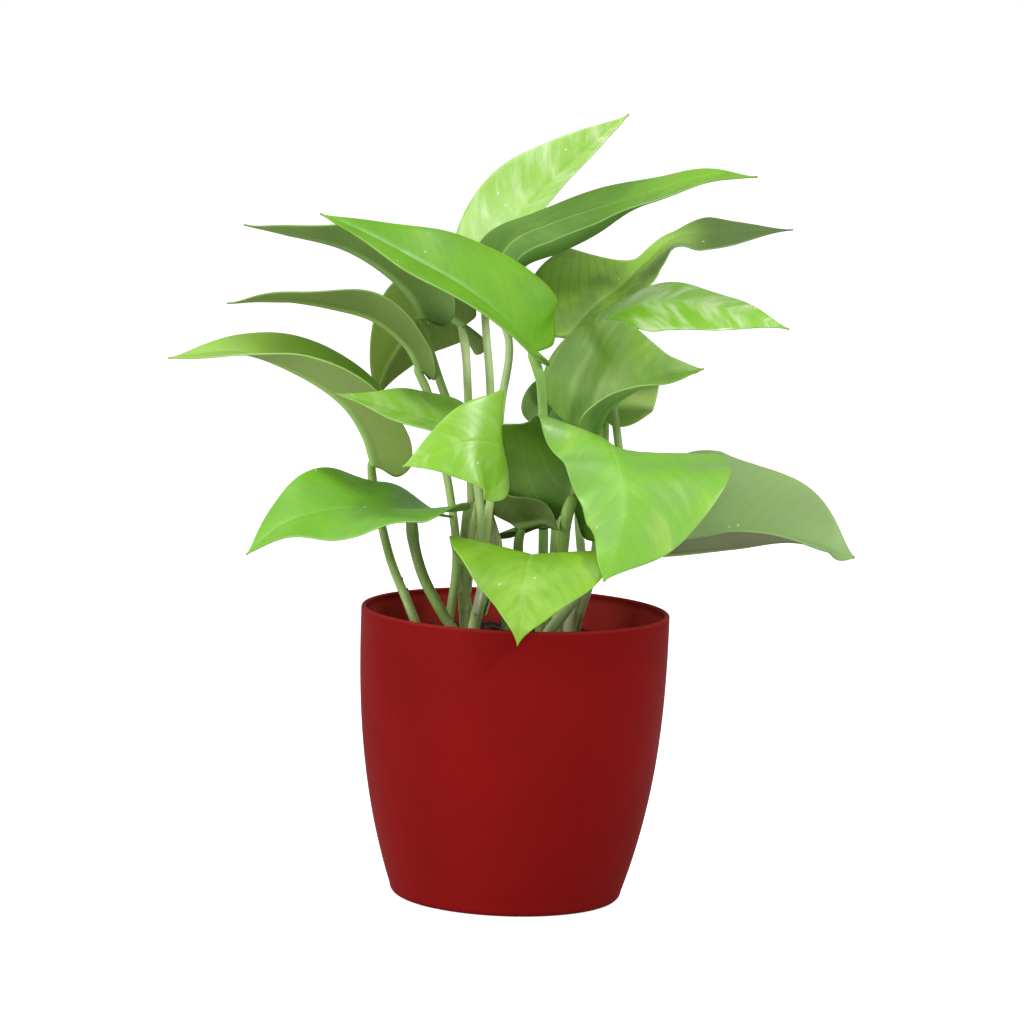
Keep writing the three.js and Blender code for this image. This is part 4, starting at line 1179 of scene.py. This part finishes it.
# %% pot material
LIP_RUBBED = 1.3
POT_SPECULAR = 0.04

material, nodes, shader = new_material("red_pot_plastic")
grain = skin_grain(nodes, 22.0, 1100.0)
specks = dust_specks(nodes, 190.0, 0.012, 0.12)
height = nodes.made("ShaderNodeSeparateXYZ", {0: nodes.place()}, 2)
rubbed = nodes.ramp(height, (POT_HEIGHT - LIP_RUBBED) * MM, POT_HEIGHT * MM, 0.0, 0.35)
colour = nodes.layered(
    paint(136, 6, 6), (nodes.ramp(grain["Mottle"], 0.35, 0.65), paint(130, 5, 5)),
    (nodes.times(specks, 0.6), paint(205, 150, 130)), (rubbed, paint(185, 60, 52)),
    # painted light: the inner wall painted paler to lift the shade inside the pot
    (nodes.times(nodes.value("inside"), 0.85), paint(196, 62, 54)))
rough = nodes.ramp(grain["Mottle"], 0.3, 0.7, 0.5, 0.58)
finished(nodes, shader, colour, rough, nodes.plus(grain["Grain"], specks), 0.00006)
shader.inputs["Specular IOR Level"].default_value = POT_SPECULAR
dressed(pot_shell, "pot", material)
print("pot finished")

# %% [markdown]
# Potting soil is a low dark mound of crumbs and fibres. A bump texture would leave its outline smooth, and
# a sliver of it shows over the lip, so the mound is a fine disc whose points are raised and lowered by
# noise, and loose crumbs are added as small, uneven lumps half sunk in it. Four of them cling to two of
# the stalks. The random numbers have a fixed seed.

# %% the soil
SOIL_RINGS = 70
SIDE_HEIGHTS = np.linspace(3, 90, 12)
SOIL_GAP = 0.05
SOIL_UNDER = 0.1
SOIL_EDGE_TOP = SOIL_TOP - SOIL_FALL
SURFACE_FROM = 90.2
FALL_BEND = 1.5
ROUGH_RISE = 0.9
ROUGH_CALM = 0.6
ROUGH_PER_MM = 0.16
ROUGH_CUT = 3
ROUGH_KIND = (0.9, 2.1, 5)


def soil_radius(z):
    return pot_radius(z) - POT_WALL - SOIL_GAP


def soil_height(x, y):
    share = min(1, math.hypot(x, y) / SOIL_EDGE)
    rough = noise.fractal(Vector((x, y, ROUGH_CUT)) * ROUGH_PER_MM, *ROUGH_KIND)
    return SOIL_TOP - SOIL_FALL * share**FALL_BEND + ROUGH_RISE * rough * (1 - ROUGH_CALM * share)


SOIL_EDGE = soil_radius(SOIL_EDGE_TOP)
profile = [(0, POT_FLOOR + SOIL_UNDER), *((soil_radius(z), z) for z in SIDE_HEIGHTS)]
profile += [(SOIL_EDGE * (1 - ring / SOIL_RINGS), SOIL_EDGE_TOP) for ring in range(SOIL_RINGS)]
soil = turned("soil_mound", [*profile, (0, SOIL_TOP)])
for vertex in soil.data.vertices:
    if vertex.co.z > SURFACE_FROM * MM:
        vertex.co.z = soil_height(vertex.co.x / MM, vertex.co.y / MM) * MM
print("soil mound points:", len(soil.data.vertices))

# %% the crumbs
CRUMBS = 850
CRUMBS_SEED = 11
CRUMBS_REACH = 0.97
CRUMB_LEAST, CRUMB_MORE = 0.45, 1.5
CRUMB_STRETCH = ((0.7, 1.5), (0.7, 1.2), (0.5, 0.9))
CRUMB_DENTS = (0.75, 1.2)
CRUMB_RAISED = 0.2
CLINGING_FORM = (0.8, 0.8, 1.5)
CLINGING_AHEAD = 0.6
CLINGING = [("stalk_08", 0.4, 0.6), ("stalk_08", 0.47, 0.45), ("stalk_16", 0.36, 0.5),
            ("stalk_16", 0.55, 0.45)]
chance = random.Random(CRUMBS_SEED)
lump = bmesh.new()
bmesh.ops.create_icosphere(lump, subdivisions=1, radius=1)
lump_points = np.array([vertex.co[:] for vertex in lump.verts])
lump_faces = [[corner.index for corner in face.verts] for face in lump.faces]
lump.free()
parts = []
for _ in range(CRUMBS):
    turn = chance.uniform(0, 2 * math.pi)
    out_to = SOIL_EDGE * CRUMBS_REACH * math.sqrt(chance.random())
    size = CRUMB_LEAST + CRUMB_MORE * chance.random() ** 3
    stretch = np.array([chance.uniform(*span) for span in CRUMB_STRETCH])
    dents = np.array([chance.uniform(*CRUMB_DENTS) for _ in lump_points])[:, None]
    x, y = out_to * math.cos(turn), out_to * math.sin(turn)
    spin = chance.uniform(0, math.pi)
    shape = lump_points * dents * stretch * size
    shape = shape @ np.array(Matrix.Rotation(spin, 3, "Z"))
    parts.append((shape + [x, y, soil_height(x, y) + CRUMB_RAISED * size], lump_faces, {}))
for stem, high, size in CLINGING:
    stalk = STEMS[stem][0]
    place = Line(stalk["path"]).at(high) + np.array([stalk["foot"], -CLINGING_AHEAD, 0])
    parts.append((lump_points * CLINGING_FORM * size + place, lump_faces, {}))
points, faces, _ = joined(parts)
crumbs = mesh_piece("soil_crumbs", points, faces)
print("crumbs:", CRUMBS)

# %% soil material
material, nodes, shader = new_material("crumbly_soil")
grain = skin_grain(nodes, 260.0, 2200.0)
colour = nodes.layered(
    paint(38, 28, 21), (nodes.ramp(grain["Mottle"], 0.35, 0.65), paint(78, 58, 40)),
    (nodes.ramp(grain["Grain"], 0.6, 0.75, 0.0, 0.5), paint(120, 96, 70)))
rough = nodes.ramp(grain["Mottle"], 0.3, 0.7, 0.85, 0.97)
finished(nodes, shader, colour, rough, nodes.plus(grain["Mottle"], grain["Grain"]), 0.0006)
dressed(soil, "soil", material)
crumbs.data.materials.append(material)
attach(crumbs, "root")
print("soil finished")
